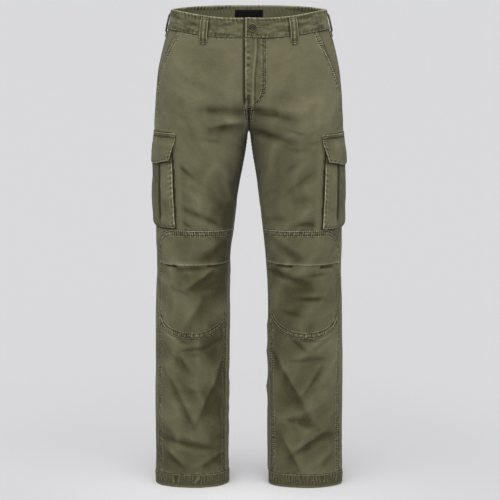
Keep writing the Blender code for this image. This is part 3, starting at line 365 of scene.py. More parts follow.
# creases in millimetres, by leg (0 is both) and by face: 1 is the front and -1 the back. x is
# positive outwards from the middle. bow bends the line in its middle, above and below are how far
# the trough reaches on its two sides, narrow where it is sharp, and height is its depth (below 0).
FOLD_COLUMNS = ("x0", "z0", "x1", "z1", "bow", "above", "below", "height")
FOLDS = {
    (-1, 1): (  # wearer's right leg, in front, from the fly down
        (101, -194, 8, -202, 0, 13.5, 4.5, -4.4), (78, -236, 11, -230, 3, 3.6, 14.6, -3.2),
        (97, -261, 63, -265, 0, 4.5, 2.7, -1.3), (160, -312, 128, -341, 0, 2.9, 5.6, -2),
        (103, -363, 60, -421, 0, 7.9, 7.9, -1.3), (149, -414, 65, -453, 2, 6.7, 3.4, -2.4),
        (157, -439, 124, -456, 0, 3.6, 2.7, -2.2), (112, -533, 43, -496, 0, 9, 10.1, -2.2),
        (164, -550, 96, -549, 0, 4, 5, -2.6), (132, -596, 77, -552, -2, 2.9, 11.2, -2.7),
        (127, -596, 60, -584, 0, 6.7, 3.6, -1.3), (175, -594, 137, -608, 0, 5, 3.1, -1.6),
        (140, -692, 98, -619, 0, 4, 20.2, -2), (157, -714, 139, -721, 0, 2.9, 2.7, -1.5),
        (152, -739, 94, -733, 2, 3.4, 4.5, -2.1), (103, -739, 54, -708, 0, 5.9, 2.9, -2),
        (132, -749, 99, -749, 0, 6.7, 2.9, -1.2), (193, -727, 139, -789, 0, 6.7, 6.7, -1.8),
        (163, -742, 138, -785, 0, 2.7, 3.1, -1.1), (180, -801, 127, -915, 0, 3.4, 10.8, -2.1),
        (50, -746, 119, -913, 0, 3.4, 18, -2.8), (191, -943, 75, -969, -1, 9.5, 2.9, -3),
        (193, -965, 148, -1014, 0, 3.1, 13.5, -2.1), (50, -974, 119, -1016, 0, 3.4, 13.5, -2.1),
        (74, -942, 48, -933, 0, 5, 4.5, -1.5), (162, -835, 93, -835, 0, 11.2, 2.7, -0.8),
        (160, -122, 76, -149, 4, 11.2, 9, -0.9),
    ),
    (1, 1): (  # wearer's left leg, in front
        (7, -197, 93, -215, 2, 12.4, 4.5, -4.2), (7, -239, 98, -269, 2, 10.1, 5, -3.4),
        (88, -239, 123, -249, 0, 3.4, 2.7, -1.4), (131, -269, 156, -265, 0, 3.1, 2.7, -1.3),
        (93, -283, 130, -283, 0, 4.5, 3.4, -1.3), (78, -334, 113, -307, 0, 5.6, 4.5, -1.2),
        (86, -375, 151, -330, 0, 6.7, 5.9, -1.6), (91, -399, 146, -393, 0, 11.2, 7.9, -1.3),
        (98, -455, 154, -455, 7, 5.9, 2.9, -2.4), (34, -441, 93, -439, 0, 9, 6.7, -1.5),
        (50, -483, 115, -533, 0, 7.2, 11.2, -2.2), (52, -560, 133, -586, 2, 10.3, 3.4, -3),
        (136, -565, 172, -562, 0, 3.4, 3.1, -1.6), (104, -594, 149, -602, 0, 9, 5.9, -1.4),
        (112, -620, 163, -618, 0, 2.9, 6.7, -2.6), (76, -649, 114, -658, 0, 5, 2.9, -1.9),
        (145, -660, 135, -695, 0, 4.5, 4.5, -1), (97, -712, 127, -739, 0, 3.4, 5, -2),
        (119, -715, 152, -715, 0, 2.7, 3.1, -2), (184, -709, 144, -739, 0, 4.5, 5, -1.9),
        (89, -766, 134, -762, 2, 6.3, 4.5, -2.1), (126, -757, 176, -761, 2, 6.3, 3.4, -2),
        (50, -731, 117, -857, 0, 3.4, 20.2, -2.3), (167, -775, 122, -847, 0, 2.9, 12.4, -2.3),
        (98, -841, 145, -915, 0, 5.9, 5.9, -1.6), (78, -900, 127, -899, 0, 5.9, 2.9, -2),
        (107, -907, 154, -919, 0, 11.2, 2.9, -2.1), (95, -985, 177, -932, 2, 3.4, 9, -3),
        (161, -937, 200, -937, 0, 7.2, 4.5, -1.8), (73, -942, 115, -1021, 0, 3.4, 18, -2.3),
        (153, -1016, 200, -978, 0, 6.7, 9, -1.6),
    ),
    (0, -1): (  # seat and calves, on both legs
        (30, -232, 120, -262, -6, 15, 8, -3), (26, -205, 90, -222, -4, 13.5, 7.2, -1.8),
        (60, -292, 150, -315, 5, 15, 8, -2.2), (95, -955, 170, -968, -5, 13.5, 7.2, -2.8),
        (70, -1005, 120, -996, 4, 12, 6.4, -1.8),
    ),
    (-1, -1): (  # back of the right leg
        (90, -520, 165, -531, -5, 12, 6.4, -3.6), (84, -566, 155, -558, -4, 12, 6.4, -3.6),
        (100, -606, 170, -598, 5, 13.5, 7.2, -2.8), (75, -480, 130, -492, 5, 13.5, 7.2, -2.2),
        (100, -650, 150, -668, 5, 15, 8, -2), (100, -860, 160, -885, -6, 15, 8, -2.6),
        (80, -760, 130, -812, 6, 16.5, 8.8, -1.8),
    ),
    (1, -1): (  # back of the left leg
        (95, -512, 160, -524, 5, 12, 6.4, -3.6), (82, -552, 160, -560, -5, 12, 6.4, -3.6),
        (90, -600, 165, -594, 4, 13.5, 7.2, -2.8), (120, -474, 175, -486, 5, 13.5, 7.2, -2.2),
        (85, -645, 140, -660, 5, 15, 8, -2), (95, -880, 160, -855, 6, 15, 8, -2.6),
        (110, -740, 150, -800, -6, 16.5, 8.8, -1.8),
    ),
}
FOLD_ROLL = 0.24               # height of the roll beside a trough's sharp side
FOLD_ROLL_OFF = 0.0055         # and how far off it runs
FOLD_SHADE = 1.20               # how much darker a crease is painted than its depth alone shades it
FOLD_SHADE_WIDENING = 1.9               # and how much wider its painted shade spreads on the sharp side, over the lit streak there
FOLD_TIP = 0.012               # length over which a fold dies out past its ends

# tucks sewn into the knee's middle seam: girths of their two ends, level and deeper end
TUCK_COLUMNS = ("low", "high", "level", "deep_end")
TUCKS = {
    1: ((0.062, 0.0910, -0.5458, "high"), (0.1660, 0.200, -0.5437, "low")),
    -1: ((0.066, 0.0900, -0.5424, "high"), (0.1697, 0.196, -0.5437, "low")),
}
TUCK_SOFT = 0.006
TUCK_DEPTH = 0.0020
TUCK_WIDTH = 0.0024
TUCK_BLOB = 0.0042             # deeper hollow at the end of a tuck

# soft unevenness of washed cotton: size of the waves, their height, how creased they are, seed
WAVES = (
    (0.085, 0.0015, 0.0, 3),
    (0.052, 0.0020, 1.0, 7),
    (0.036, 0.0007, 0.0, 11),
    (0.024, 0.0008, 1.0, 19),
    (0.013, 0.00030, 0.5, 23),
    (0.008, 0.00012, 0.0, 37),
)
WAVE_CALM = 0.022              # distance from the inner seams over which the waves grow
HIP_CALM = 0.60                # the hips, drawn flat by the band, have this much less of them
EDGE_CALM = 0.75               # and the outer side of the leg
INNER_EASE = {1: 0.0030, -1: -0.0020}   # the two legs hang a little differently inside
EASE_LEVELS = (-0.270, -0.480)
EASE_REACH = 0.045
INNER_SHADE = {1: 0.06, -1: 0.44}       # painted shade on the inner thighs and shins, where the legs shade each other
INNER_SHADE_REACH = 0.064
LOWER_CALM = 0.30              # the painted shade of the creases is this much weaker on the shins

LATTICE = 64                   # random heights that a wave pattern repeats after

SEAM_ROLL = 0.0008             # the cloth rolls down into a seam by this much
SEAM_ROLL_WIDTH = 0.0013
FELL_WIDTH = 0.0095            # strip of doubled cloth beside a seam
FELL_HEIGHT = 0.0005

SLASH_STRIP = 0.0110           # between the two rows of stitches on the slash
KNEE_STRIP = 0.0080
FELL_START = 0.0012            # the doubled strip starts this far from its seam
SLASH_DOUBLING = 1.4           # the slash edge is folded more often

# ripples that a row of stitches draws up across itself: first seed, distance from one to the
# next, how far they reach and their height
PUCKERS = {
    "seam": (0, 0.0085, 0.0055, 0.00042),
    "band_foot": (71, 0.0098, 0.0105, 0.00095),
    "band_top": (73, 0.0088, 0.0110, 0.00095),
    "facing_foot": (81, 0.0090, 0.0100, 0.00060),
    "facing_top": (83, 0.0092, 0.0110, 0.00070),
    "fly_curve": (99, 0.0070, 0.0045, 0.00060),
    "pocket_sides": (120, 0.0115, 0.0065, 0.00060),
    "pocket_foot": (123, 0.0105, 0.0070, 0.00060),
    "flap_sides": (140, 0.0078, 0.0065, 0.00060),
    "flap_foot": (143, 0.0095, 0.0065, 0.00060),
    "flap_top": (145, 0.0080, 0.0060, 0.00060),
}

# soft unevenness of the smaller pieces: height, size, stretch and seed of each wave
UNEVEN = {
    "band": ((0.00070, 0.030, 4.0, 75), (0.00045, 0.013, 3.0, 77)),
    "pocket": ((0.0011, 0.034, 1.0, 125), (0.0005, 0.013, 1.0, 127)),
    "flap": ((0.0011, 0.030, 1.0, 147), (0.0004, 0.012, 1.0, 149)),
}

# soft lines along an edge or seam: distance from it, width, and how much paler (or darker,
# below 0) the cloth is there; in those named rise, how high it stands
LINES = {
    "knee_middle": ((0.0022, 0.0017, 0.34),),
    "worn_edge": ((0.0008, 0.0010, 0.50), (0.0040, 0.0012, -0.14)),
    "hem_top": ((0.0018, 0.0014, 0.42), (0.0030, 0.0011, -0.40), (0.0300, 0.0030, 0.33)),
    "band_rows": ((0.0062, 0.0011, -0.40), (0.0019, 0.0009, -0.30)),
    "band_foot": ((0.0040, 0.0010, 0.20),),
    "band_top": ((0.0006, 0.0016, 0.38), (0.0044, 0.0011, -0.25)),
    "band_end": ((0.0008, 0.0014, 0.55), (0.0052, 0.0011, -0.30)),
    "facing_top": ((0.0, 0.0020, 0.40),),
    "label_fold": ((0.0016, 0.0010, 0.50),),
    "loop_middle": ((0.0, 0.0018, 0.22),),
    "loop_middle_rise": ((0.0, 0.0016, 0.0009),),
    "loop_edge": ((0.0010, 0.0011, 0.42), (0.0036, 0.0013, -0.55)),
    "loop_edge_rise": ((0.0036, 0.0013, -0.0007),),
    "loop_head": ((0.0, 0.0015, 0.10), (0.0046, 0.0016, -0.30)),
    "loop_foot": ((0.0, 0.0015, 0.10), (0.0046, 0.0016, -0.90)),
    "loop_end_rise": ((0.0050, 0.0022, -0.0005),),
    "fly_edge": ((0.0008, 0.0012, 0.42),),
    "fly_edge_rise": ((0.0, 0.0009, -0.0010),),
    "fly_ridge": ((0.0, 0.0020, 0.26), (0.0042, 0.0015, -0.26)),
    "fly_ridge_rise": ((0.0, 0.0024, 0.0009), (0.0042, 0.0022, -0.0004)),
    "zip_rise": ((0.0035, 0.0012, 0.0003),),
    # the dark line in the pleat's fold is painted shade
    "pleat": ((0.0055, 0.0026, 0.20), (0.0003, 0.0013, -1.20)),
    "pleat_rise": ((-0.0045, 0.0030, 0.0009),),
    "flap_top": ((0.0080, 0.0026, -0.85), (0.0036, 0.0016, 0.08), (0.0220, 0.0080, 0.12)),
    "flap_top_rise": ((0.0, 0.0020, -0.0010),),
}

RELIEF_WEAR_AND_SHADE = 85.0             # added for each metre that the cloth stands up: paler ridges from wear, and painted shade in the hollows
FADE_COLUMNS = ("level", "fade")
LEVEL_TONE_AND_LIGHT = (                 # painted light from above: paler near the waist and darker towards the hem
    (0.030, 0.370),
    (-0.060, 0.365),
    (-0.160, 0.370),
    (-0.300, 0.385),
    (-0.480, 0.335),
    (-0.800, 0.270),
    (-1.055, 0.210),
)
SEAM_FAR = 3.0                 # seam mark of cloth that is far from any seam
SEAM_NAMES = ("outer", "inner", "knees", "ends")
OUTSEAM_ROWS = 0.0088          # distance from a seam to its second row of stitches
INSEAM_ROWS = 0.0090
KNEE_TOP_ROWS = 0.0110
KNEE_MIDDLE_ROWS = 0.0062
KNEE_BOTTOM_ROWS = 0.0118
SLASH_ROWS = 0.0102
PLAIN_ROLL = 0.0060            # reach of a seam's ditch on the side without stitches
VALLEY_DEPTH = 0.0028          # ditch beside the fly and below it
VALLEY_WIDTH = 0.0032


def lattice_noise(across, along, size, seed):
    """Smooth random heights between -1 and 1, the same on every run."""
    random = np.random.default_rng(seed).uniform(-1.0, 1.0, (LATTICE, LATTICE))
    u, v = np.broadcast_arrays(np.asarray(across) / size, np.asarray(along) / size)
    iu, iv = np.floor(u).astype(int), np.floor(v).astype(int)
    fu, fv = u - iu, v - iv
    fu, fv = fu * fu * (3 - 2 * fu), fv * fv * (3 - 2 * fv)
    iu, iv = iu % LATTICE, iv % LATTICE
    ju, jv = (iu + 1) % LATTICE, (iv + 1) % LATTICE
    low = random[iu, iv] * (1 - fu) + random[ju, iv] * fu
    high = random[iu, jv] * (1 - fu) + random[ju, jv] * fu
    return low * (1 - fv) + high * fv


def fold_ends(fold, face):
    """A fold's two ends as girth and level."""
    return [(float(girth_at_x(fold["z" + end], fold["x" + end], face)) * face, fold["z" + end])
            for end in "01"]


def read_folds():
    """The creases of each leg, with their two ends in the order of their girths."""
    found = {side: [] for side in SIDES}
    for (side, face), rows in FOLDS.items():
        for row in rows:
            fold = dict(zip(FOLD_COLUMNS, (value / METRES_TO_MM for value in row)))
            ends = sorted(fold_ends(fold, face))
            for leg in SIDES if side == 0 else (side,):
                found[leg].append((fold, *ends))
    return found


FOLD_LINES = read_folds()


def fold_height(side, girth, level, blunt=1.0):
    """Sum of the creases: troughs, sharp on one side. blunt widens that side."""
    total = np.zeros(np.broadcast(girth, level).shape)
    for fold, start, end in FOLD_LINES[side]:
        run = (end[0] - start[0], end[1] - start[1])
        length = math.hypot(*run)
        along = ((girth - start[0]) * run[0] + (level - start[1]) * run[1]) / length ** 2
        across = ((level - start[1]) * run[0] - (girth - start[0]) * run[1]) / length
        middle = np.clip(along, 0.0, 1.0)
        across = across - fold["bow"] * 4 * middle * (1 - middle)
        past = np.maximum(np.maximum(-along, along - 1.0), 0.0) * length
        swell = (0.35 + 0.65 * np.sin(math.pi * middle) ** 0.7) * bell(past, FOLD_TIP)
        narrow = min(fold["above"], fold["below"])
        width = np.where(across > 0.0, fold["above"], fold["below"])
        width = np.where(width == narrow, narrow * blunt, width)
        off = narrow * blunt + FOLD_ROLL_OFF
        off = -off if fold["above"] > fold["below"] else off
        roll = bell(across - off, FOLD_ROLL_OFF)
        total += fold["height"] * swell * (bell(across, width) - FOLD_ROLL * roll)
    return total


def tuck_height(side, girth, level):
    """The tucks at the knee: a shallow trough, a deep hollow at its end and a roll below."""
    total = np.zeros(np.broadcast(girth, level).shape)
    for row in TUCKS[side]:
        tuck = dict(zip(TUCK_COLUMNS, row))
        inside = strip(girth, tuck["low"], tuck["high"], TUCK_SOFT)
        above = level - tuck["level"]
        total -= TUCK_DEPTH * inside * bell(above, TUCK_WIDTH)
        total -= TUCK_BLOB * bell(girth - tuck[tuck["deep_end"]], 0.0042) * bell(above, 0.0024)
        total += 0.5 * TUCK_DEPTH * inside * bell(above + 0.010, 0.005)
    return total


def waves(girth, level, seed=0):
    """Soft unevenness of the cloth."""
    bent = girth + 0.010 * lattice_noise(girth, level, 0.045, 51 + seed)
    total = 0.0
    for size, height, creased, own_seed in WAVES:
        wave = lattice_noise(bent, level * 0.8 + 0.4 * bent, size, own_seed + seed)
        total = total + height * (wave + creased * (0.5 - 2.0 * np.abs(wave) - wave))
    return total


def puckers(distance, along, kind, seed=0):
    """Short uneven ripples that a row of stitches draws up across itself."""
    first, pitch, reach, height = PUCKERS[kind]
    seed = seed + first
    swell = lattice_noise(along, np.zeros_like(along), pitch * 2.7, seed)
    drift = lattice_noise(along, np.ones_like(along), pitch * 4.1, seed + 1)
    wave = np.sin(2 * math.pi * (along / pitch + 0.6 * drift + 0.25 * distance / reach))
    return height * (0.75 + 0.5 * swell) * wave * bell(distance, reach)


def uneven(across, along, kind, seed=0):
    return sum(height * lattice_noise(across, along * stretch, size, first + seed)
               for height, size, stretch, first in UNEVEN[kind])


def lines(kind, distance):
    """Sum of the soft lines of one kind at a distance from their edge."""
    return sum(strength * bell(distance - place, width) for place, width, strength in LINES[kind])


def covered(side, girth, level):
    """1 where something is sewn on top, so that the cloth below lies calm."""
    hung = level - POCKET_HANG[side]
    pocket = strip(girth, POCKET_BACK - 0.016, POCKET_FRONT + 0.016, 0.006)
    pocket = pocket * strip(hung, POCKET_BOTTOM - 0.008, FLAP_TOP + 0.007, 0.006)
    near_middle = front_middle(level) - girth
    reach = 0.038 if side > 0 else 0.006
    fly = (1.0 - smoothstep(reach, reach + 0.012, near_middle)) * smoothstep(-0.192, -0.180, level)
    loops = smoothstep(-0.052, -0.040, level)
    return np.maximum(np.maximum(pocket, fly * (girth > 0.0)), loops)


# base tone of the cloth by level, with painted light that falls off towards the hem
level_tone_and_light = read_table(FADE_COLUMNS, LEVEL_TONE_AND_LIGHT)["fade"]


def sewn(distance, rows):
    """Seam mark beside stitches: 0 at the seam, 1 at its second row and 3 far away."""
    return np.clip(np.abs(distance) / rows, 0.0, SEAM_FAR)


def plain(distance):
    """Seam mark on the side without stitches: 4 at the seam and 3 away from it."""
    return SEAM_FAR + np.clip(1.0 - np.abs(distance) / PLAIN_ROLL, 0.0, 1.0)


def nearest(*marks):
    low, high = np.minimum.reduce(marks), np.maximum.reduce(marks)
    return np.where(low < 2.0, low, high)


def seam_channels(**marks):
    """Seam marks in the order of SEAM_NAMES; a seam that isn't given is far away."""
    shape = np.broadcast_shapes(*(mark.shape for mark in marks.values()))
    return np.stack([np.broadcast_to(marks.get(name, SEAM_FAR), shape) for name in SEAM_NAMES],
                    axis=-1)


def seam_marks(side, level, distances):
    """Marks of the upright seams (outer and inner) and of the level ones (knee and ends)."""
    outseam, inner, knee_top, _, knee_bottom, slash = distances
    in_front = outseam > 0.0
    outer = np.where(in_front, sewn(outseam, OUTSEAM_ROWS), plain(outseam))
    outer = np.where((level > SLASHES[side][1]) & in_front, sewn(slash, SLASH_ROWS), outer)
    by_fly = in_front & (level > FLY_BOTTOM)
    stitched = (in_front | (level > CROTCH)) & ~by_fly
    knees = nearest(
        np.where(knee_top < 0.0, sewn(knee_top, KNEE_TOP_ROWS), plain(knee_top)),
        np.where(knee_bottom > 0.0, sewn(knee_bottom, KNEE_BOTTOM_ROWS), plain(knee_bottom)))
    return seam_channels(
        outer=outer, inner=np.where(stitched, sewn(inner, INSEAM_ROWS), plain(inner)),
        knees=knees, ends=nearest(plain(BAND_BOTTOM - level), plain(level - HEM_TOP)))


def seam_lines(side, girth, level):
    """Distance from and place along the outseam, inseam, three knee seams and slash."""
    outseam = SEAM["outseam"](level)
    in_front = girth > outseam
    far = np.where(in_front, 0.0, 1.0)
    found = [(girth - outseam, level),
             (np.where(in_front, front_end(level) - girth, girth - back_end(level)), level)]
    share = front_share(girth, level)
    width = np.maximum(front_end(level) - outseam, 0.05)
    ahead, behind = np.clip(share + 0.01, 0, 1), np.clip(share - 0.01, 0, 1)
    for seam in KNEE_SEAMS:
        slope = (knee_seam(seam, ahead) - knee_seam(seam, behind)) / (0.02 * width)
        distance = (level - knee_seam(seam, share)) / np.sqrt(1.0 + slope ** 2)
        found.append((distance + far, girth + np.where(np.abs(slope) > 1.0, level, 0.0)))
    slash = np.where((level > SLASHES[side][1] - 0.004) & in_front,
                     girth - slash_girth(side, level), 1.0)
    return found + [(slash, level)]


def fly_valley(side, girth, level):
    """1 in the ditch beside the fly's free edge and down the seam below it."""
    beside = front_middle(level) - girth
    if side < 0:
        by_fly = bell(beside - 0.0100, VALLEY_WIDTH)
        by_fly = by_fly * smoothstep(FLY_BOTTOM, FLY_BOTTOM + 0.02, level)
    else:
        by_fly = 0.0
    below = smoothstep(FLY_BOTTOM + 0.012, FLY_BOTTOM - 0.004, level) * (level > CROTCH - 0.004)
    return np.maximum(by_fly, below * bell(beside - 0.0005, VALLEY_WIDTH)) * (girth > 0.0)


def pocket_shade(side, girth, level):
    """1 where shadow is painted on the leg beside and below the cargo pocket and just above its
    flap.
    """
    hung = level - POCKET_HANG[side]
    beside = strip(girth, POCKET_FRONT - 0.012, POCKET_FRONT + 0.0008, 0.0012) * strip(
        hung, POCKET_BOTTOM, FLAP_TOP - 0.010, 0.003)
    below = strip(hung, POCKET_BOTTOM - 0.0034, POCKET_BOTTOM + 0.012, 0.0014) * strip(
        girth, POCKET_BACK, POCKET_FRONT, 0.003)
    above = 0.9 * strip(hung, FLAP_TOP - 0.002, FLAP_TOP + 0.0046, 0.0010) * strip(
        girth, POCKET_BACK, POCKET_FRONT, 0.003)
    return np.maximum(np.maximum(beside, below), above)


def leg_relief(side, girth, level):
    """How far the cloth stands off the smooth form, how faded it is with shade painted in, and its
    seam marks.
    """
    girth, level = np.broadcast_arrays(np.asarray(girth, float), np.asarray(level, float))
    seams = seam_lines(side, girth, level)
    distances = [distance for distance, _ in seams]
    outseam, inseam, knee_top, knee_middle, knee_bottom, slash = distances
    inner = np.abs(inseam)
    by_seam = smoothstep(0.0, 0.012, inner)
    tucked = tuck_height(side, girth, level)
    shape = fold_height(side, girth, level) * by_seam + tucked
    # worn is painted shade: creases and tuck hollows are darkened where shade falls, and the rolls
    # beside the troughs are painted lighter
    worn = FOLD_SHADE * fold_height(side, girth, level, FOLD_SHADE_WIDENING) * by_seam
    worn = worn * (1.0 - LOWER_CALM * smoothstep(-0.600, -0.680, level))
    worn = worn + tucked + 1.8 * np.minimum(tucked, 0.0)
    wavy = waves(girth, level, 100 * (side + 1)) * smoothstep(0.0, WAVE_CALM, inner)
    wavy *= 1.0 - HIP_CALM * smoothstep(-0.200, -0.130, level)
    rolling = wavy * (1.0 - EDGE_CALM * bell(girth, 0.030))
    sewing = np.zeros(girth.shape)
    for number, (distance, along) in enumerate(seams, 1):
        sewing += puckers(distance, along, "seam", number + 10 * (side + 2))
        sewing -= SEAM_ROLL * bell(distance, SEAM_ROLL_WIDTH)
    for distance, width, doubling in (
            (outseam, FELL_WIDTH, 1.0), (inseam, FELL_WIDTH, 1.0),
            (-knee_top, KNEE_TOP_ROWS + 0.002, 1.0), (knee_middle, KNEE_STRIP, 1.0),
            (knee_bottom, FELL_WIDTH, 1.0), (slash, SLASH_STRIP, SLASH_DOUBLING)):
        sewing += doubling * FELL_HEIGHT * strip(distance, FELL_START, width)
    shape = shape + INNER_EASE[side] * smoothstep(*EASE_LEVELS, level) * bell(inner, EASE_REACH)
    calm = 1.0 - covered(side, girth, level)
    valley = fly_valley(side, girth, level)
    lift = (shape + rolling) * calm + sewing * np.maximum(calm, 0.25) - VALLEY_DEPTH * valley
    # the tone follows the relief: painted shade in creases, hollows and pucker valleys, and paler
    # raised cloth
    fade = level_tone_and_light(level) + RELIEF_WEAR_AND_SHADE * ((worn + 0.6 * wavy) * calm + sewing)
    # painted shade down the inner front of each leg, where the other leg shades it
    thigh = strip(level, -0.62, -0.25, 0.03) + 0.45 * strip(level, -1.02, -0.66, 0.04)
    fade -= INNER_SHADE[side] * bell(inner, INNER_SHADE_REACH) * thigh * (outseam > 0.0)
    fade += lines("knee_middle", knee_middle)
    # painted shade in the ditch by the fly, and painted shadow round the cargo pocket
    fade -= 0.65 * valley + 1.10 * pocket_shade(side, girth, level)
    return lift, fade, seam_marks(side, level, distances)


# ---- making cloth ----------------------------------------------------------------------------

EDGE_STEPS = (0.0007, 0.0009, 0.0014, 0.0022)   # first rows inside a cloth edge


def spaced(length, step):
    """Shares of a length, closer together near its two ends."""
    edge = np.concatenate(([0.0], np.cumsum(EDGE_STEPS)))
    count = max(int((length - 2 * edge[-1]) / step), 1)
    middle = np.linspace(edge[-1], length - edge[-1], count + 1)
    return np.concatenate((edge[:-1], middle, length - edge[-2::-1])) / length


def edge_distance(shares, length):
    return np.minimum(shares, 1.0 - shares) * length


def link(mesh, finish):
    mesh.materials.append(finish)
    obj = bpy.data.objects.new(mesh.name, mesh)
    bpy.context.scene.collection.objects.link(obj)
    return obj


def grid(levels, columns):
    """Levels of the rows and places of the columns, spread over a grid."""
    return np.broadcast_arrays(levels[:, None], columns[None, :])


def cloth_mesh(name, points, places, fade, marks=None, ring=False):
    """A grid of points as a mesh, with its UV map in metres of cloth, its fading with painted
    shade, and its seams.
    """
    rows, columns = points.shape[:2]
    bm = bmesh.new()
    bmesh.ops.create_grid(bm, x_segments=columns - 1, y_segments=rows - 1, size=0.5)
    mesh = bpy.data.meshes.new(name)
    bm.to_mesh(mesh)
    bm.free()
    mesh.vertices.foreach_set("co", np.asarray(points, dtype=np.float32).reshape(-1))
    corners = np.empty(len(mesh.loops), dtype=np.int32)
    mesh.loops.foreach_get("vertex_index", corners)
    flat = np.stack(np.broadcast_arrays(*places), axis=-1).astype(np.float32).reshape(-1, 2)
    mesh.uv_layers.new(name="cloth").data.foreach_set("uv", flat[corners].reshape(-1))
    if marks is None:
        marks = np.full(np.shape(fade) + (len(SEAM_NAMES),), SEAM_FAR)
    for layer, kind, key, values in (("fade", "FLOAT", "value", np.clip(fade, 0.0, 1.0)),
                                     ("seams", "FLOAT_COLOR", "color", marks)):
        mesh.attributes.new(layer, kind, "POINT").data.foreach_set(
            key, np.asarray(values, dtype=np.float32).reshape(-1))
    if ring:
        bm = bmesh.new()
        bm.from_mesh(mesh)
        bmesh.ops.remove_doubles(bm, verts=bm.verts, dist=1e-6)
        bm.to_mesh(mesh)
        bm.free()
    mesh.update()
    return mesh


def face_outward(mesh, points, outward):
    """Turns the faces to the side that the normals of the form point to."""
    across = points[:-1, 1:] - points[:-1, :-1]
    up = points[1:, :-1] - points[:-1, :-1]
    if np.sum(np.cross(across, up) * outward[:-1, :-1]) < 0.0:
        mesh.flip_normals()


def settle_order(bm):
    """Lists edges and faces by their corners, as extruding and merging keep no fixed order."""
    bm.verts.index_update()
    count = len(bm.verts)

    def rank(item):
        corners = [vert.index for vert in item.verts]
        return min(corners) * count + max(corners)

    bm.edges.sort(key=rank)
    bm.faces.sort(key=rank)


def thicken(obj, wall):
    """Gives the cloth its thickness on the inside."""
    thick = obj.modifiers.new("wall", "SOLIDIFY")
    thick.thickness = wall
    thick.offset = -1.0


def cloth_piece(name, points, outward, places, fade, wall, finish, marks=None, ring=False):
    """A piece of cloth: a shell on its outer face, thickened inwards."""
    mesh = cloth_mesh(name, points, places, fade, marks, ring)
    face_outward(mesh, points, outward)
    mesh.shade_smooth()
    obj = link(mesh, finish)
    thicken(obj, wall)
    return obj


def wear(obj, slot, *nodes):
    """The piece rides on the garment and stands for its solids, which it hides. slot is not used.
    """
    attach(obj, BODY)
    if nodes:
        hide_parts(*nodes)


def cut_size(points):
    """Flat size of a grid of cloth: its longest row, its longest column and its area."""
    across, up = np.diff(points, axis=1), np.diff(points, axis=0)
    area = np.sum(np.linalg.norm(np.cross(across[:-1], up[:, :-1]), axis=-1))
    width = np.linalg.norm(across, axis=-1).sum(axis=1).max()
    length = np.linalg.norm(up, axis=-1).sum(axis=0).max()
    return float(width), float(length), float(area)


def put_on(obj, points, node, slot="olive_twill", gusset=0.0):
    """The piece joins the garment in place of its solid, and works out the size of the cloth it was
    cut from, which nothing uses.

    A gusset is a strip of that width added along both sides and the foot.
    """
    wear(obj, slot, node)
    width, length, area = cut_size(points)
    area += gusset * (2 * length + width)


# ---- leg panels ------------------------------------------------------------------------------

CLOTH_WALL = 0.0013
FRONT_STEP = 0.0026            # between points of the fronts
BACK_STEP = 0.0031
MIDDLE_CLEAR = 0.00004         # the two fronts and backs keep this far from the middle
PANEL_WIDTH = 0.20
BACK_WIDTH = 0.30
THIGH_START = FORK_BLEND[1]
SEAT_END = -0.200              # rows are even from the band down to here


def column_girth(level, low, high, share, toward):
    """Even columns down the leg; near the crotch only those by the middle follow its curve."""
    even = low + (high - low) * share
    pivot = front_pivot(level) if toward > 0 else back_pivot(level)
    split = np.where(
        share <= FORK_SHARE,
        low + (pivot - low) * share / FORK_SHARE,
        pivot + (high - pivot) * (share - FORK_SHARE) / (1.0 - FORK_SHARE))
    return even + (split - even) * smoothstep(*FORK_BLEND, level)


def seat_rows(step):
    """Levels from the band to the thigh, closest together where the crotch curve is flat."""
    top = BAND_BOTTOM - 0.00025
    seat = top + (SEAT_END - top) * spaced(top - SEAT_END, step)[:-4]
    rise = CROTCH + (SEAT_END - CROTCH) * np.linspace(1.0, 0.0, 26)[1:] ** 2
    below = np.linspace(CROTCH, THIGH_START, int((CROTCH - THIGH_START) / step) + 2)[1:]
    return np.concatenate((seat, rise, below))


def rows_between(upper, lower, shares):
    """Levels of rows that change evenly from an upper line to a lower one."""
    return upper[None, :] * (1.0 - shares[:, None]) + lower[None, :] * shares[:, None]


def panel(side, name, level, share, limits, toward, finish):
    """One panel of a leg, on a grid of levels with a share of the width for each column."""
    level, share = np.broadcast_arrays(level, share[None, :])
    low, high = limits(level)
    girth = column_girth(level, low, high, share, toward)
    lift, fade, marks = leg_relief(side, girth, level)
    points, outward = on_form(side, girth, level, lift)
    # the cloth rolls into the centre seams, and its edges meet there
    keep = np.maximum(points[..., 0] * side, MIDDLE_CLEAR)
    keep[:, -1] = np.where(level[:, -1] > CROTCH, MIDDLE_CLEAR, keep[:, -1])
    points[..., 0] = keep * side
    node = f"{name}_{SIDE_NAMES[side]}"
    obj = cloth_piece("cloth_" + node, points, outward, (girth, level), fade, CLOTH_WALL, finish,
                      marks)
    put_on(obj, points, node)


def flat_rows(levels, columns):
    return np.repeat(np.asarray(levels)[:, None], columns, axis=1)


# name of each knee panel, its upper and lower seam and its height
KNEE_PANELS = (("knee_upper", "top", "middle", 0.076), ("knee_lower", "middle", "bottom", 0.140))


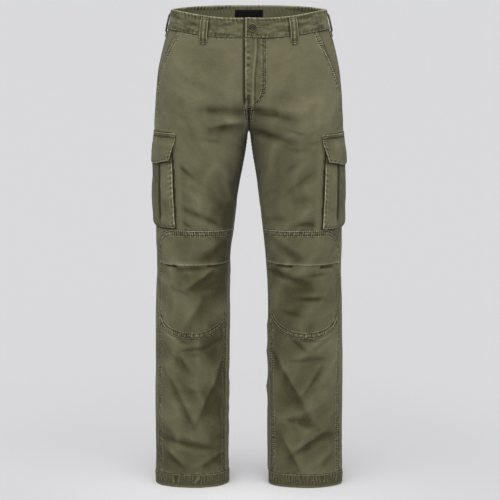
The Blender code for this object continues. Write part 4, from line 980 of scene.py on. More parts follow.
def make_front(side, finish):
    """Upper front, the two knee panels and the shin of one leg."""
    share = spaced(PANEL_WIDTH, FRONT_STEP)
    gap = SEAM_GAP / 2

    def upper_limits(level):
        return slash_girth(side, level) + gap, front_end(level)

    def leg_limits(level):
        return SEAM["outseam"](level) + gap, front_end(level)

    seat = flat_rows(seat_rows(FRONT_STEP), len(share))
    rows = spaced(THIGH_START - KNEE_SEAMS["top"][0], FRONT_STEP)[4:]
    rows = (rows - rows[0]) / (1.0 - rows[0])
    thigh = rows_between(np.full(len(share), THIGH_START), knee_seam("top", share) + gap, rows)[1:]
    panel(side, "front", np.concatenate((seat, thigh)), share, upper_limits, 1, finish)
    for name, upper, lower, height in KNEE_PANELS:
        level = rows_between(knee_seam(upper, share) - gap, knee_seam(lower, share) + gap,
                             spaced(height, FRONT_STEP))
        panel(side, name, level, share, leg_limits, 1, finish)
    top = knee_seam("bottom", share) - gap
    level = rows_between(top, np.full(len(share), HEM_TOP + gap),
                         spaced(top.mean() - HEM_TOP, FRONT_STEP))
    panel(side, "shin", level, share, leg_limits, 1, finish)


def make_back(side, finish):
    """The back of one leg, in one piece from the band to the hem."""
    share = spaced(BACK_WIDTH, BACK_STEP)

    def limits(level):
        return SEAM["outseam"](level) - SEAM_GAP / 2, back_end(level)

    leg = np.linspace(THIGH_START, HEM_TOP + SEAM_GAP / 2,
                      int((THIGH_START - HEM_TOP) / BACK_STEP) + 2)[1:]
    level = flat_rows(np.concatenate((seat_rows(BACK_STEP), leg)), len(share))
    panel(side, "back", level, share, limits, -1, finish)


# ---- hems ------------------------------------------------------------------------------------

HEM_STEP = 0.0022
HEM_ROUND = 0.0012             # the fold rounds off over this height
HEM_PROUD = 0.0005
HEM_SUNK = 0.0006              # its top edge lies lower
HEM_WALL = 0.0010
HEM_TURN = 0.0026              # thickness of the doubled cloth
HEM_INSIDE = 0.012             # how far up the inside it is built
ROPING_PITCH = 0.0068
ROPING_HEIGHT = 0.00110
HEM_ROW = 0.0030               # row of stitches below the hem's top edge


def folded_profile(height, step, rounding, turn, turn_steps, inside, proud):
    """Run and lift of a folded edge: up the outside, round the fold and back inside."""
    outside = [(run, proud) for run in spaced(height, step) * height]
    fold = [(height + rounding * math.sin(angle), proud - turn / 2 * (1.0 - math.cos(angle)))
            for angle in np.linspace(0.0, math.pi, turn_steps)[1:]]
    back = [(height - run, proud - turn) for run in np.linspace(*inside, 5)]
    return np.array(outside + fold + back)


def hem_relief(side, girth, level):
    """The leg's creases run on into the hem, and its stitches rope it."""
    lift, _, _ = leg_relief(side, girth, np.maximum(level, HEM_TOP + 0.009))
    below = HEM_TOP - level
    slant = girth + 0.10 * below + 0.004 * lattice_noise(girth, level, 0.012, 63)
    drift = lattice_noise(girth, np.zeros_like(girth), 0.03, 61 + side)
    rope = np.sin(2 * math.pi * (slant / ROPING_PITCH + 0.9 * drift))
    rope = rope * (0.9 + 0.6 * lattice_noise(girth, level, 0.016, 67 + side))
    rope = rope * ROPING_HEIGHT * strip(below, 0.0035, 0.021, 0.003)
    rope = rope - HEM_SUNK * bell(below - HEM_ROW, 0.0016)
    fade = level_tone_and_light(level) - 0.13 + 2.7 * RELIEF_WEAR_AND_SHADE * rope + lines("hem_top", below)
    return lift + rope, fade, seam_channels(knees=plain(below))


def make_hem(side, finish):
    """A turned-up hem, closed into a ring."""
    name = SIDE_NAMES[side]
    profile = folded_profile(HEM_HEIGHT - HEM_ROUND, 0.0024, HEM_ROUND, HEM_TURN, 7,
                             (0.002, HEM_INSIDE), HEM_PROUD)
    profile[0, 1] -= HEM_SUNK
    front, back = float(front_whole(HEM_BOTTOM)), float(back_whole(HEM_BOTTOM))
    around = np.linspace(-back, front, int((front + back) / HEM_STEP) + 1)
    closing = smoothstep(0.0, 0.02, edge_distance(np.linspace(0, 1, len(around)), front + back))
    level, around = grid(HEM_TOP - SEAM_GAP / 2 - profile[:, 0], around)
    girth = around * (front_whole(level) + back_whole(level)) / (front + back)
    lift, fade, marks = hem_relief(side, girth, level)
    points, outward = on_form(side, girth, level, lift * closing + profile[:, 1:2])
    points[:, -1] = points[:, 0]
    obj = cloth_piece("cloth_hem_" + name, points, outward, (girth, level), fade, HEM_WALL,
                      finish, marks, ring=True)
    put_on(obj, points, "hem_" + name)


# ---- waistband -------------------------------------------------------------------------------

BAND_PROUD = 0.0008
BAND_GAP = 0.0005
BAND_ROWS = 0.0062             # second row of stitches above its lower edge
BAND_TURN = 0.0030             # thickness over the folded top edge
BAND_INSIDE = 0.0085           # how far down the inside the outer cloth is turned
BAND_STEP = 0.0024
LAP_END_X = 0.0077
UNDERLAP_END_X = 0.034
LAP_RAMP = 0.075
LAP_LEVEL_RUN = 0.003
LAP_RAISE = 0.0019
LAP_SINK = 0.0018
FACING_DROP = 0.0018
FACING_INSET = 0.0012
FACING_WALL = 0.0011
FACING_CLEAR = 0.0003
INNER_FADE = 0.40
BAND_WALL = 0.0010
LABEL_STAND = 0.0024           # off the band's inner face
LABEL_WIDTH = 0.066
LABEL_HEIGHT = 0.025
LABEL_BELOW_TOP = 0.010


def waist_run():
    return float(front_middle(BAND_BOTTOM) + back_middle(BAND_BOTTOM))


def waist_place(share, level):
    """Side and girth at a share round the waist: 0 centre back, 1 centre front by the left."""
    front, back = front_middle(level), back_middle(level)
    side = np.where(share >= 0.0, 1.0, -1.0)
    run = np.abs(share) * (front + back)
    past = run > front + back
    side = np.where(past, -side, side)
    run = np.where(past, 2 * (front + back) - run, run)
    return side, run - back


def lap_lift(share, level):
    """The left end of the band rises towards the centre front and the right end sinks."""
    left = (1.0 - np.abs(share)) * (front_middle(level) + back_middle(level))
    rise = LAP_RAISE * smoothstep(-LAP_RAMP, -UNDERLAP_END_X - LAP_LEVEL_RUN, -left)
    sink = LAP_SINK * smoothstep(-LAP_RAMP, -LAP_END_X - LAP_LEVEL_RUN, -left)
    return np.where(share > 0.0, rise, -sink)


def beside_loops(girth, level):
    """1 in the shadow beside the two belt loops in front."""
    drop = (WAIST_TOP - LOOP_TOP - level) / LOOP_LENGTH
    middle = girth_at_x(level, FRONT_LOOP_X + FRONT_LOOP_SPLAY * drop)
    return bell(np.abs(girth - middle) - LOOP_WIDTH / 2 - 0.0006, 0.0016) * (drop > 0.0)


def band_relief(share, level):
    """Puckers along both stitched edges of the band, and soft unevenness between."""
    share, level = np.broadcast_arrays(share, level)
    _, girth = waist_place(share, level)
    run = share * waist_run()
    top, bottom = WAIST_TOP - level, level - BAND_BOTTOM
    lift = puckers(bottom, run, "band_foot") + puckers(top, run, "band_top")
    lift = lift + uneven(run, level, "band")
    lift = lift + 0.00060 * (0.5 - np.abs(lattice_noise(run, level * 3.0, 0.024, 79)))
    lift = lift - SEAM_ROLL * bell(bottom, SEAM_ROLL_WIDTH)
    # near_lap: a ditch on the underlap beside the band's lapped end, with painted shadow in it
    near_lap = bell(waist_run() * (1.0 + share) - LAP_END_X - 0.0022, 0.0030) * (share < 0.0)
    lift = lift - 0.0016 * near_lap
    ends = LAP_END_X + waist_run() * (1.0 - share)
    hole = strip(ends, LAP_END_X + BUTTON_X, LAP_END_X + BUTTON_X + BUTTONHOLE_LENGTH, 0.0012)
    sunk = 0.8 + 0.5 * lattice_noise(run, level, 0.016, 85)
    fade = level_tone_and_light(0.0) - 0.14 + 2.3 * RELIEF_WEAR_AND_SHADE * lift - 0.75 * near_lap
    fade = fade + sunk * lines("band_rows", bottom) + lines("band_foot", bottom)
    fade = fade + lines("band_top", top) + lines("band_end", ends)
    fade = fade + 0.12 * lattice_noise(run, level * 3.0, 0.007, 78)
    fade = fade - 0.85 * beside_loops(girth, level)
    fade = fade - 0.9 * hole * bell(level - BUTTON_LEVEL, 0.0013)
    return lift, fade, seam_channels(knees=plain(bottom))


def waist_grid(levels, shares):
    """A grid round the waist: level, share, side, girth and run from the centre back."""
    level, share = grid(levels, shares)
    return (level, share, *waist_place(share, level), share * waist_run())


def band_shares(step):
    under = UNDERLAP_END_X / waist_run()
    over = LAP_END_X / waist_run()
    length = (2.0 + under + over) * waist_run()
    return -1.0 - under + spaced(length, step) * (2.0 + under + over)


def make_band(finish):
    """The waistband with its turned top edge."""
    bottom = BAND_BOTTOM + BAND_GAP / 2
    profile = folded_profile(WAIST_TOP - bottom - BAND_TURN / 2, 0.0016, BAND_TURN / 2, BAND_TURN,
                             9, (0.0015, BAND_INSIDE), BAND_PROUD)
    shares = band_shares(BAND_STEP)
    level, share, side, girth, run = waist_grid(bottom + profile[:, 0], shares)
    lift, fade, marks = band_relief(share, level)
    ends = edge_distance((shares - shares[0]) / (shares[-1] - shares[0]), waist_run() * 2)
    lift = lift + profile[:, 1:2] + lap_lift(share, level) - 0.0006 * bell(ends, 0.0010)
    points, outward = on_form(side, girth, level, lift)
    obj = cloth_piece("cloth_waistband", points, outward, (run, level), fade, BAND_WALL, finish,
                      marks)
    put_on(obj, points, "waistband")


def make_facing(finish):
    """The inner layer of the band, with its right side towards the wearer."""
    height = WAIST_TOP - FACING_INSET - BAND_BOTTOM
    drops = spaced(height, 0.0028) * (height - BAND_GAP / 2)
    level, share, side, girth, run = waist_grid(WAIST_TOP - FACING_INSET - drops,
                                                band_shares(0.0032))
    lift = puckers(level - BAND_BOTTOM - 0.002, run, "facing_foot")
    lift = lift + puckers(level - WAIST_TOP + 0.009, run, "facing_top")
    stand = BAND_PROUD - FACING_DROP - FACING_WALL - FACING_CLEAR + lap_lift(share, level)
    points, outward = on_form(side, girth, level, stand + lift)
    fade = INNER_FADE + 0.08 + 2.0 * RELIEF_WEAR_AND_SHADE * lift
    fade = fade + lines("facing_top", WAIST_TOP - FACING_INSET - level)
    obj = cloth_piece("cloth_facing", points, -outward, (run, level), fade, 0.0009, finish)
    put_on(obj, points, "waistband_facing", "olive_twill_inner")


def make_label(finish):
    """A bare woven patch on the facing at the centre back, its edges turned under."""
    half = LABEL_WIDTH / 2 / waist_run()
    columns = spaced(LABEL_WIDTH, 0.0020) * 2 * half - half
    top = WAIST_TOP - LABEL_BELOW_TOP
    level, share, side, girth, run = waist_grid(
        top - spaced(LABEL_HEIGHT, 0.0016) * LABEL_HEIGHT, columns)
    edge = np.minimum(edge_distance((share + half) / (2 * half), LABEL_WIDTH),
                      np.minimum(top - level, level - top + LABEL_HEIGHT))
    lift = 0.0004 * smoothstep(0.0, 0.0016, edge) + 0.00012 * lattice_noise(run, level, 0.009, 91)
    points, outward = on_form(side, girth, level, BAND_PROUD - FACING_DROP - LABEL_STAND - lift)
    obj = cloth_piece("woven_label", points, -outward, (run, level),
                      0.3 + lines("label_fold", edge), 0.0007, finish)
    put_on(obj, points, "label_patch", "black_label")


# ---- belt loops ------------------------------------------------------------------------------

LOOP_WIDTH = 0.0175
LOOP_WALL = 0.0018
LOOP_STAND = 0.0032
LOOP_TOP = 0.0010
LOOP_LENGTH = 0.060
LOOP_FOOT = 0.009
LOOP_BEND = 0.0035
LOOP_EASE = 0.0006
LAP = 0.0004
FRONT_LOOP_X = 0.0950
FRONT_LOOP_SPLAY = 0.005
SIDE_LOOP_GIRTH = -0.008
LOOP_STITCH = 0.0036           # rows of stitches from each edge
LOOP_STITCH_SUNK = 0.0003
LOOP_RIB_PITCH = 0.0052


def loop_stand(drop):
    """Lift of a loop's inner face, from foot to foot."""
    top = BAND_PROUD + LAP
    out = BAND_PROUD + LOOP_STAND
    lower = LOOP_LENGTH - LOOP_FOOT
    drops = np.array((-0.001, 0.0, LOOP_FOOT - LOOP_BEND, LOOP_FOOT, LOOP_FOOT + LOOP_BEND,
                      LOOP_LENGTH / 2, lower - LOOP_BEND, lower, lower + LOOP_BEND, LOOP_LENGTH))
    lifts = np.array((top, top, top, top + LOOP_EASE, out, out + LOOP_EASE, out,
                      LAP + LOOP_EASE, LAP, LAP))
    return smooth_curve(drops, lifts)(drop)


def loop_lift(across, drop):
    """Lift of a loop's outer face: a raised middle between two rows of stitches."""
    inside = LOOP_WIDTH / 2 - np.abs(across)
    shape = lines("loop_middle_rise", across) + lines("loop_edge_rise", inside)
    shape = shape - 0.0007 * (1.0 - smoothstep(0.0, 0.0018, inside))
    ribs = np.sin(2 * math.pi * drop / LOOP_RIB_PITCH)
    shape = shape + 0.00018 * ribs * bell(inside - LOOP_STITCH, 0.003)
    shape = shape + lines("loop_end_rise", drop) + lines("loop_end_rise", LOOP_LENGTH - drop)
    return loop_stand(drop) + LOOP_WALL + shape


def loop_places():
    """Name of each loop and the rule that gives the side and girth across its width."""
    def on_side(side):
        return lambda level, across: (side, SIDE_LOOP_GIRTH + across)

    def in_front(side):
        def place(level, across):
            share = (WAIST_TOP - LOOP_TOP - level) / LOOP_LENGTH
            return side, girth_at_x(level, FRONT_LOOP_X + FRONT_LOOP_SPLAY * share) + across
        return place

    def behind(level, across):
        return np.where(across >= 0.0, 1.0, -1.0), np.abs(across) - back_middle(level)

    return (("front_left", in_front(1)), ("front_right", in_front(-1)),
            ("side_left", on_side(1)), ("side_right", on_side(-1)), ("back", behind))


def loop_surface(place, across, drop, extra=0.0):
    """Points on a belt loop, by the distance from its middle and down from its top."""
    level = WAIST_TOP - LOOP_TOP - drop
    side, girth = place(level, across)
    return on_form(side, girth, level, loop_lift(across, drop) + extra)


def make_loops(finish):
    """Five belt loops."""
    for name, place in loop_places():
        drop, across = grid(spaced(LOOP_LENGTH, 0.0013) * LOOP_LENGTH,
                            (spaced(LOOP_WIDTH, 0.0011) - 0.5) * LOOP_WIDTH)
        points, outward = loop_surface(place, across, drop)
        fade = level_tone_and_light(0.0) - 0.11 + lines("loop_middle", across)
        fade = fade + lines("loop_edge", LOOP_WIDTH / 2 - np.abs(across))
        fade = fade + lines("loop_head", drop) + lines("loop_foot", LOOP_LENGTH - drop)
        fade = fade + 0.12 * lattice_noise(across, drop, 0.006, 93)
        obj = cloth_piece("cloth_loop_" + name, points, outward, (across + 0.5, drop), fade,
                          LOOP_WALL, finish)
        put_on(obj, points, "belt_loop_" + name)


# ---- fly, zip and button ---------------------------------------------------------------------

FLY_EDGE_X = -0.0082
FLY_STITCH_X = 0.0395
FLY_BOTTOM = -0.1900
FLY_CURVE = 0.055
FLY_ROWS = 0.0088
FLY_RIDGE_LOW = 0.0175
FLY_RIDGE_SPREAD = 0.0060
FLY_RAISE = 0.0019             # outer face over the front at the free edge
FLY_MEET = 0.00035             # and at the curved row of stitches, where it is one cloth
FLY_LEAST = 0.00025
FLY_WALL = 0.0012
DIMPLE_PITCH = 0.0130
CREASE_PITCH = 0.0165
ZIP_HALF_WIDTH = 0.014
ZIP_DROP = 0.0013
ZIP_TOP = -0.023
ZIP_BOTTOM = -0.160
BUTTON_X = 0.0082
BUTTON_LEVEL = 0.0015
BUTTON_STEPS = 48
BUTTON_SIZE = 1.06
# half outline of the button, from its back to the middle of its face: radius and height
BUTTON_PROFILE = (
    (0.0000, 0.0000), (0.0036, 0.0000), (0.0036, 0.0010), (0.0080, 0.0010), (0.0086, 0.0013),
    (0.0088, 0.0019), (0.0087, 0.0026), (0.0083, 0.0032), (0.0077, 0.0034), (0.0070, 0.0032),
    (0.0064, 0.0027), (0.0060, 0.0025), (0.0048, 0.0025), (0.0044, 0.0027), (0.0040, 0.0030),
    (0.0035, 0.0030), (0.0031, 0.0027), (0.0026, 0.0024), (0.0014, 0.0024), (0.0010, 0.0028),
    (0.0000, 0.0030),
)


def centre_place(x, level):
    """Side and girth near the middle of the front, at a distance x to the wearer's left."""
    return np.where(x >= 0.0, 1.0, -1.0), girth_at_x(level, np.abs(x))


def fly_reach(level):
    """Distance from the middle to the curved edge of the fly."""
    below = np.maximum(FLY_BOTTOM + FLY_CURVE - level, 0.0) / FLY_CURVE
    full = FLY_STITCH_X - FLY_EDGE_X
    return full * np.sqrt(np.maximum(1.0 - below ** 2, 0.0)) + FLY_EDGE_X


def fly_ridge(from_edge, level):
    """Distance from the ridge that the zip's tape pushes up, nearer the edge lower down."""
    return from_edge - FLY_RIDGE_LOW - FLY_RIDGE_SPREAD * smoothstep(-0.125, -0.035, level)


def fly_dimples(from_edge, level):
    """Dimples between the stitches that hold the tape, uneven in size."""
    drift = lattice_noise(level, level * 0, 0.030, 95)
    size = 0.0010 * (0.7 + 0.6 * lattice_noise(level, level * 0, 0.021, 96))
    dimples = np.sin(2 * math.pi * (level / DIMPLE_PITCH + 0.5 * drift))
    return size * dimples * bell(from_edge - 0.0070, 0.0036)


def fly_lift(share, level, x):
    """The fly stands off at its free edge and sinks into the front at its stitches."""
    from_edge = x - FLY_EDGE_X
    width = np.minimum(FLY_STITCH_X, fly_reach(level)) - FLY_EDGE_X
    lift = FLY_RAISE + (FLY_MEET - FLY_RAISE) * smoothstep(0.35, 1.0, share)
    lift = lift + fly_dimples(from_edge, level)
    lift = lift + lines("fly_ridge_rise", fly_ridge(from_edge, level))
    diagonal = (level * 0.75 + x * 0.9) / CREASE_PITCH
    creases = np.sin(2 * math.pi * (diagonal + 0.5 * lattice_noise(x, level, 0.02, 97)))
    lift = lift + 0.00025 * creases * strip(share, 0.50, 0.92, 0.08)
    lift = lift + puckers(width - from_edge, level, "fly_curve")
    return np.maximum(lift + lines("fly_edge_rise", from_edge), FLY_LEAST)


def fly_point(x, level, extra=0.0):
    share = np.clip((x - FLY_EDGE_X) / np.maximum(fly_reach(level) - FLY_EDGE_X, 1e-4), 0.0, 1.0)
    side, girth = centre_place(x, level)
    return on_form(side, girth, level, fly_lift(share, level, x) + extra)


def make_fly(finish):
    """The lapped fly with its curved lower end."""
    top = BAND_BOTTOM - BAND_GAP / 2
    height = top - FLY_BOTTOM - FLY_CURVE
    turn = np.linspace(0.0, math.radians(85), 26)
    levels = np.concatenate((top - spaced(height, 0.0024)[:-4] * height,
                             FLY_BOTTOM + FLY_CURVE * (1.0 - np.sin(turn))))
    level, share = grid(levels, spaced(FLY_STITCH_X - FLY_EDGE_X, 0.0013))
    x = FLY_EDGE_X + (fly_reach(level) - FLY_EDGE_X) * share
    points, outward = fly_point(x, level)
    from_edge = x - FLY_EDGE_X
    fade = level_tone_and_light(level) - 0.10 + lines("fly_edge", from_edge)
    fade = fade + lines("fly_ridge", fly_ridge(from_edge, level))
    fade = fade + 2.2 * RELIEF_WEAR_AND_SHADE * fly_dimples(from_edge, level)
    fade = fade + 0.10 * lattice_noise(x + 0.6 * level, level, 0.012, 98)
    fade = fade - 0.40 * strip(from_edge, 0.0, 0.012) * bell(level - FLY_BOTTOM - 0.020, 0.012)
    curve = np.minimum(fly_reach(level) - x, (level - FLY_BOTTOM) * 1.4)
    marks = seam_channels(outer=sewn(curve, FLY_ROWS), inner=plain(from_edge))
    obj = cloth_piece("cloth_fly", points, outward, (x + 1.0, level), fade, FLY_WALL, finish,
                      marks)
    put_on(obj, points, "fly")


def make_zip(finish):
    """The plain zip tape behind the fly."""
    level, x = grid(ZIP_TOP + (ZIP_BOTTOM - ZIP_TOP) * spaced(ZIP_TOP - ZIP_BOTTOM, 0.0030),
                    (spaced(2 * ZIP_HALF_WIDTH, 0.0020) * 2 - 1.0) * ZIP_HALF_WIDTH)
    side, girth = centre_place(x, level)
    lift = lines("zip_rise", np.abs(x)) - CLOTH_WALL - ZIP_DROP - 0.0004
    points, outward = on_form(side, girth, level, lift)
    obj = cloth_piece("woven_zip_tape", points, outward, (x + 1.0, level),
                      np.full(x.shape, INNER_FADE), 0.0010, finish)
    put_on(obj, points, "zip_tape", "zip_tape")


def button_frame():
    """Where the button sits, and its axis."""
    lift = BAND_PROUD + LAP_RAISE + 0.0003
    side, girth = centre_place(np.array(BUTTON_X), np.array(BUTTON_LEVEL))
    seat, axis = on_form(side, girth, np.array(BUTTON_LEVEL), np.array(lift))
    return Vector(seat), Vector(axis)


def make_button(finish):
    """A pressed metal shank button: a rolled rim, a sunk ring and a raised middle."""
    seat, axis = button_frame()
    bm = bmesh.new()
    verts = [bm.verts.new((radius * BUTTON_SIZE, 0.0, height)) for radius, height in BUTTON_PROFILE]
    edges = [bm.edges.new(pair) for pair in zip(verts, verts[1:])]
    bmesh.ops.spin(bm, geom=verts + edges, cent=(0, 0, 0), axis=(0, 0, 1), angle=2 * math.pi,
                   steps=BUTTON_STEPS, use_merge=True)
    bmesh.ops.remove_doubles(bm, verts=bm.verts, dist=1e-6)
    bmesh.ops.recalc_face_normals(bm, faces=bm.faces)
    turn = axis.to_track_quat("Z", "Y").to_matrix().to_4x4()
    bmesh.ops.transform(bm, matrix=Matrix.Translation(seat) @ turn, verts=bm.verts)
    settle_order(bm)
    mesh = bpy.data.meshes.new("metal_button")
    bm.to_mesh(mesh)
    bm.free()
    mesh.shade_smooth()
    mesh.set_sharp_from_angle(angle=math.radians(40))
    wear(link(mesh, finish), "button_metal", "button")


# ---- cargo pockets and flaps -----------------------------------------------------------------

POCKET_MIDDLE = (POCKET_FRONT + POCKET_BACK) / 2
POCKET_HALF = (POCKET_FRONT - POCKET_BACK) / 2
PLEAT_PLACE = POCKET_HALF - PLEAT_INSET
PLEAT_DEPTH = 0.0042
PLEAT_SIDE = 0.0012            # the cloth turns into a pleat over this width
PLEAT_RUN = 0.0100             # and comes up again over this one
POCKET_LEAST = 0.0016          # its face stays this far off the leg's smooth form
POCKET_WALL = 0.0013
GUSSET_CUT = 0.02              # width of the folded-in side, laid flat
SHOULDER = 0.0055
SHOULDER_DROP = 0.0022
POCKET_STEP = 0.0022
# tuck, share of the stand and tone of each row of the folded-in side; its dark tone is painted
# shadow
GUSSET = (
    (0.0008, 0.88, -0.30), (0.0024, 0.66, -0.60), (0.0040, 0.38, -0.65), (0.0036, 0.05, -0.65),
)
FLAP_WALL = 0.0018
POCKET_ROWS = 0.0075
FLAP_ROWS = 0.0072
FLAP_RISE = 0.0030             # the flap's folded top edge stands above its seam
FLAP_CUT = 0.0100              # its lower corners are this much shorter
FLAP_SEWN = -0.2535            # row of stitches along the flap's top


# distances from a pleat's fold and from the pocket's sides that get columns of their own
PLEAT_COLUMNS = np.array((-0.0012, -0.0006, 0.0, 0.0006))
SIDE_COLUMNS = np.array((0.0007, 0.0014, 0.0023))


def pocket_relief(side, across, level):
    """Pleats, puckered edges and soft unevenness of the pocket's outer face."""
    outward = np.abs(across) - PLEAT_PLACE
    sides, foot = POCKET_HALF - np.abs(across), level - POCKET_BOTTOM
    edge = np.minimum(sides, foot)
    low = smoothstep(0.004, 0.030, foot)
    pleat = np.where(outward > 0.0, np.exp(-outward / PLEAT_RUN), bell(outward, PLEAT_SIDE))
    sewing = puckers(sides - 0.004, level, "pocket_sides", side)
    sewing = sewing + puckers(foot - 0.006, across, "pocket_foot", side)
    wavy = uneven(across, level, "pocket", side)
    lift = (lines("pleat_rise", outward) - PLEAT_DEPTH * pleat) * low + sewing + wavy
    lift = lift * smoothstep(-0.285, -0.322, level)
    lift = lift - np.minimum(SHOULDER_DROP, 0.3 * pocket_stand(level)) * (
        1.0 - smoothstep(0.0, SHOULDER, edge))
    fade = level_tone_and_light(level) - 0.15 + RELIEF_WEAR_AND_SHADE * (3.2 * sewing + 1.3 * wavy)
    # painted shade in the pleat's fold, and painted light on the pleat's outer parts
    fade = fade + lines("pleat", outward) * low + 0.10 * smoothstep(0.004, 0.010, outward)
    # painted shadow on the pocket just below the flap's lower edge and under it
    above_hem = level - flap_bottom(across / POCKET_HALF)
    fade = fade - 0.6 * smoothstep(-0.006, 0.0005, above_hem) + lines("worn_edge", edge)
    return lift, fade, seam_channels(outer=plain(edge))


def corner_cut(level):
    """How far the pocket's rounded lower corner has drawn its side in."""
    low = np.clip((POCKET_BOTTOM + POCKET_ROUND - level) / POCKET_ROUND, 0.0, 1.0)
    return POCKET_ROUND * (1.0 - np.sqrt(1.0 - low ** 2))


def pocket_point(side, across, level, lift):
    return on_form(side, POCKET_MIDDLE + across, level + POCKET_HANG[side], lift)


def pocket_grid():
    """Levels and shares of the width at which the pocket's face has its rows and columns."""
    arc = POCKET_BOTTOM + POCKET_ROUND * (1.0 - np.sin(np.linspace(0.0, math.pi / 2, 12)))
    upper = np.linspace(POCKET_TOP, arc[0], int((POCKET_TOP - arc[0]) / POCKET_STEP))[:-1]
    shares = np.concatenate((
        spaced(2 * POCKET_HALF, POCKET_STEP) * 2 - 1,
        (PLEAT_PLACE + PLEAT_COLUMNS) / POCKET_HALF, -(PLEAT_PLACE + PLEAT_COLUMNS) / POCKET_HALF,
        1.0 - SIDE_COLUMNS / POCKET_HALF, SIDE_COLUMNS / POCKET_HALF - 1.0))
    return grid(np.concatenate((upper, arc)), np.unique(shares))


def add_gusset(bm, side, across, level, lift):
    """Folds the pocket's sides and foot in to the leg, row by row of GUSSET."""
    tag = bm.verts.layers.int.new("place")
    fade_and_shade_layer, seams = bm.verts.layers.float["fade"], bm.verts.layers.float_color["seams"]
    for index, vert in enumerate(bm.verts):
        vert[tag] = index
    columns = across.shape[1]
    rim = [edge for edge in bm.edges if edge.is_boundary
           and not all(vert[tag] < columns for vert in edge.verts)]
    for tuck, stand, dark in GUSSET:
        grown = bmesh.ops.extrude_edge_only(bm, edges=rim)["geom"]
        verts = [item for item in grown if isinstance(item, bmesh.types.BMVert)]
        rim = [item for item in grown if isinstance(item, bmesh.types.BMEdge)]
        index = np.array([vert[tag] for vert in verts])
        here, low = across.ravel()[index], level.ravel()[index]
        out_across = np.sign(here) * np.maximum(np.abs(here) - POCKET_HALF + POCKET_ROUND, 0.0)
        out_level = np.minimum(low - POCKET_BOTTOM - POCKET_ROUND, 0.0)
        inward = tuck / np.maximum(np.hypot(out_across, out_level), 1e-6)
        moved, _ = pocket_point(side, here - out_across * inward, low - out_level * inward,
                                lift.ravel()[index] * stand)
        for vert, point in zip(verts, moved):
            vert.co = point
            # the folded-in sides are painted dark as their shadow
            vert[fade_and_shade_layer], vert[seams] = dark, (SEAM_FAR,) * len(SEAM_NAMES)


def make_pocket(side, finish):
    """A bellows pocket, open at the top: a pleated face and sides folded in to the leg."""
    name = SIDE_NAMES[side]
    level, share = pocket_grid()
    across = share * (POCKET_HALF - corner_cut(level))
    relief, fade, marks = pocket_relief(side, across, level)
    lift = np.maximum(pocket_stand(level) + relief, POCKET_LEAST)
    points, outward = pocket_point(side, across, level, lift)
    mesh = cloth_mesh("cloth_cargo_pocket_" + name, points, (POCKET_MIDDLE + across, level),
                      fade, marks)
    face_outward(mesh, points, outward)
    bm = bmesh.new()
    bm.from_mesh(mesh)
    add_gusset(bm, side, across, level, lift)
    bmesh.ops.recalc_face_normals(bm, faces=bm.faces)
    if bm.faces[len(bm.faces) // 4].normal.x * side < 0.0:
        bmesh.ops.reverse_faces(bm, faces=bm.faces)
    settle_order(bm)
    bm.to_mesh(mesh)
    bm.free()
    mesh.shade_smooth()
    obj = link(mesh, finish)
    thicken(obj, POCKET_WALL)
    put_on(obj, points, "cargo_pocket_" + name,
           gusset=GUSSET_CUT)


def flap_bottom(share):
    """Level of the flap's lower edge, cut up towards its two corners."""
    return FLAP_BOTTOM + FLAP_CUT * smoothstep(0.30, 1.05, np.abs(share))


def flap_half(level):
    """Half width of the flap, whose lower corners are cut back."""
    slant_top = FLAP_TOP - FLAP_STRAIGHT
    slant = FLAP_SLANT * np.clip((slant_top - level) / (slant_top - FLAP_BOTTOM), 0.0, 1.0)
    return POCKET_HALF + FLAP_OVERHANG - slant


def flap_relief(side, across, level):
    """A sewn top edge, puckered sides and lower edge, and soft unevenness."""
    sides = flap_half(level) - np.abs(across)
    top, foot = FLAP_TOP + FLAP_RISE - level, level - flap_bottom(across / flap_half(level))
    edge = np.minimum(np.minimum(sides, foot), top + 0.0003)
    sewing = puckers(sides - 0.005, level, "flap_sides", side)
    sewing = sewing + puckers(foot - 0.005, across, "flap_foot", side)
    sewing = sewing + puckers(level - FLAP_SEWN, across, "flap_top", side)
    wavy = uneven(across, level, "flap", side)
    lift = sewing + wavy + lines("flap_top_rise", level - FLAP_SEWN)
    lift = lift - 0.0010 * (1.0 - smoothstep(0.0, 0.0022, edge))
    fade = level_tone_and_light(level) - 0.17 + RELIEF_WEAR_AND_SHADE * (3.4 * sewing + 1.5 * wavy)
    fade = fade + lines("flap_top", top) + lines("worn_edge", edge)
    return lift, fade, seam_channels(outer=plain(edge))


def flap_point(side, across, level, extra=0.0):
    lift, _, _ = flap_relief(side, across, level)
    calm = 0.35 + 0.65 * smoothstep(FLAP_TOP, FLAP_TOP - 0.012, level)
    return pocket_point(side, across, level, flap_stand(level) + FLAP_WALL + lift * calm + extra)


def make_flap(side, finish):
    """The flap over the pocket's open top."""
    name = SIDE_NAMES[side]
    top = FLAP_TOP + FLAP_RISE
    share = spaced(2 * (POCKET_HALF + FLAP_OVERHANG), 0.0022) * 2 - 1
    drop = spaced(top - FLAP_BOTTOM, 0.0020)[:, None] * (top - flap_bottom(share))
    level, share = np.broadcast_arrays(top - drop, share)
    across = share * flap_half(level)
    points, outward = flap_point(side, across, level)
    _, fade, marks = flap_relief(side, across, level)
    obj = cloth_piece("cloth_cargo_flap_" + name, points, outward,
                      (POCKET_MIDDLE + across, level), fade, FLAP_WALL, finish, marks)
    put_on(obj, points, "cargo_flap_" + name)


# ---- hand pockets ----------------------------------------------------------------------------

HAND_POCKET_DROP = 0.0014
HAND_POCKET_TOP = BAND_BOTTOM - 0.001
HAND_POCKET_BOTTOM = -0.238
HAND_POCKET_WIDTH = 0.130
HAND_POCKET_ROUND = 0.050
HAND_POCKET_PAST_SEAM = 0.006
SLASH_FILL = 0.0017            # the part in the slash comes up nearly level with the front


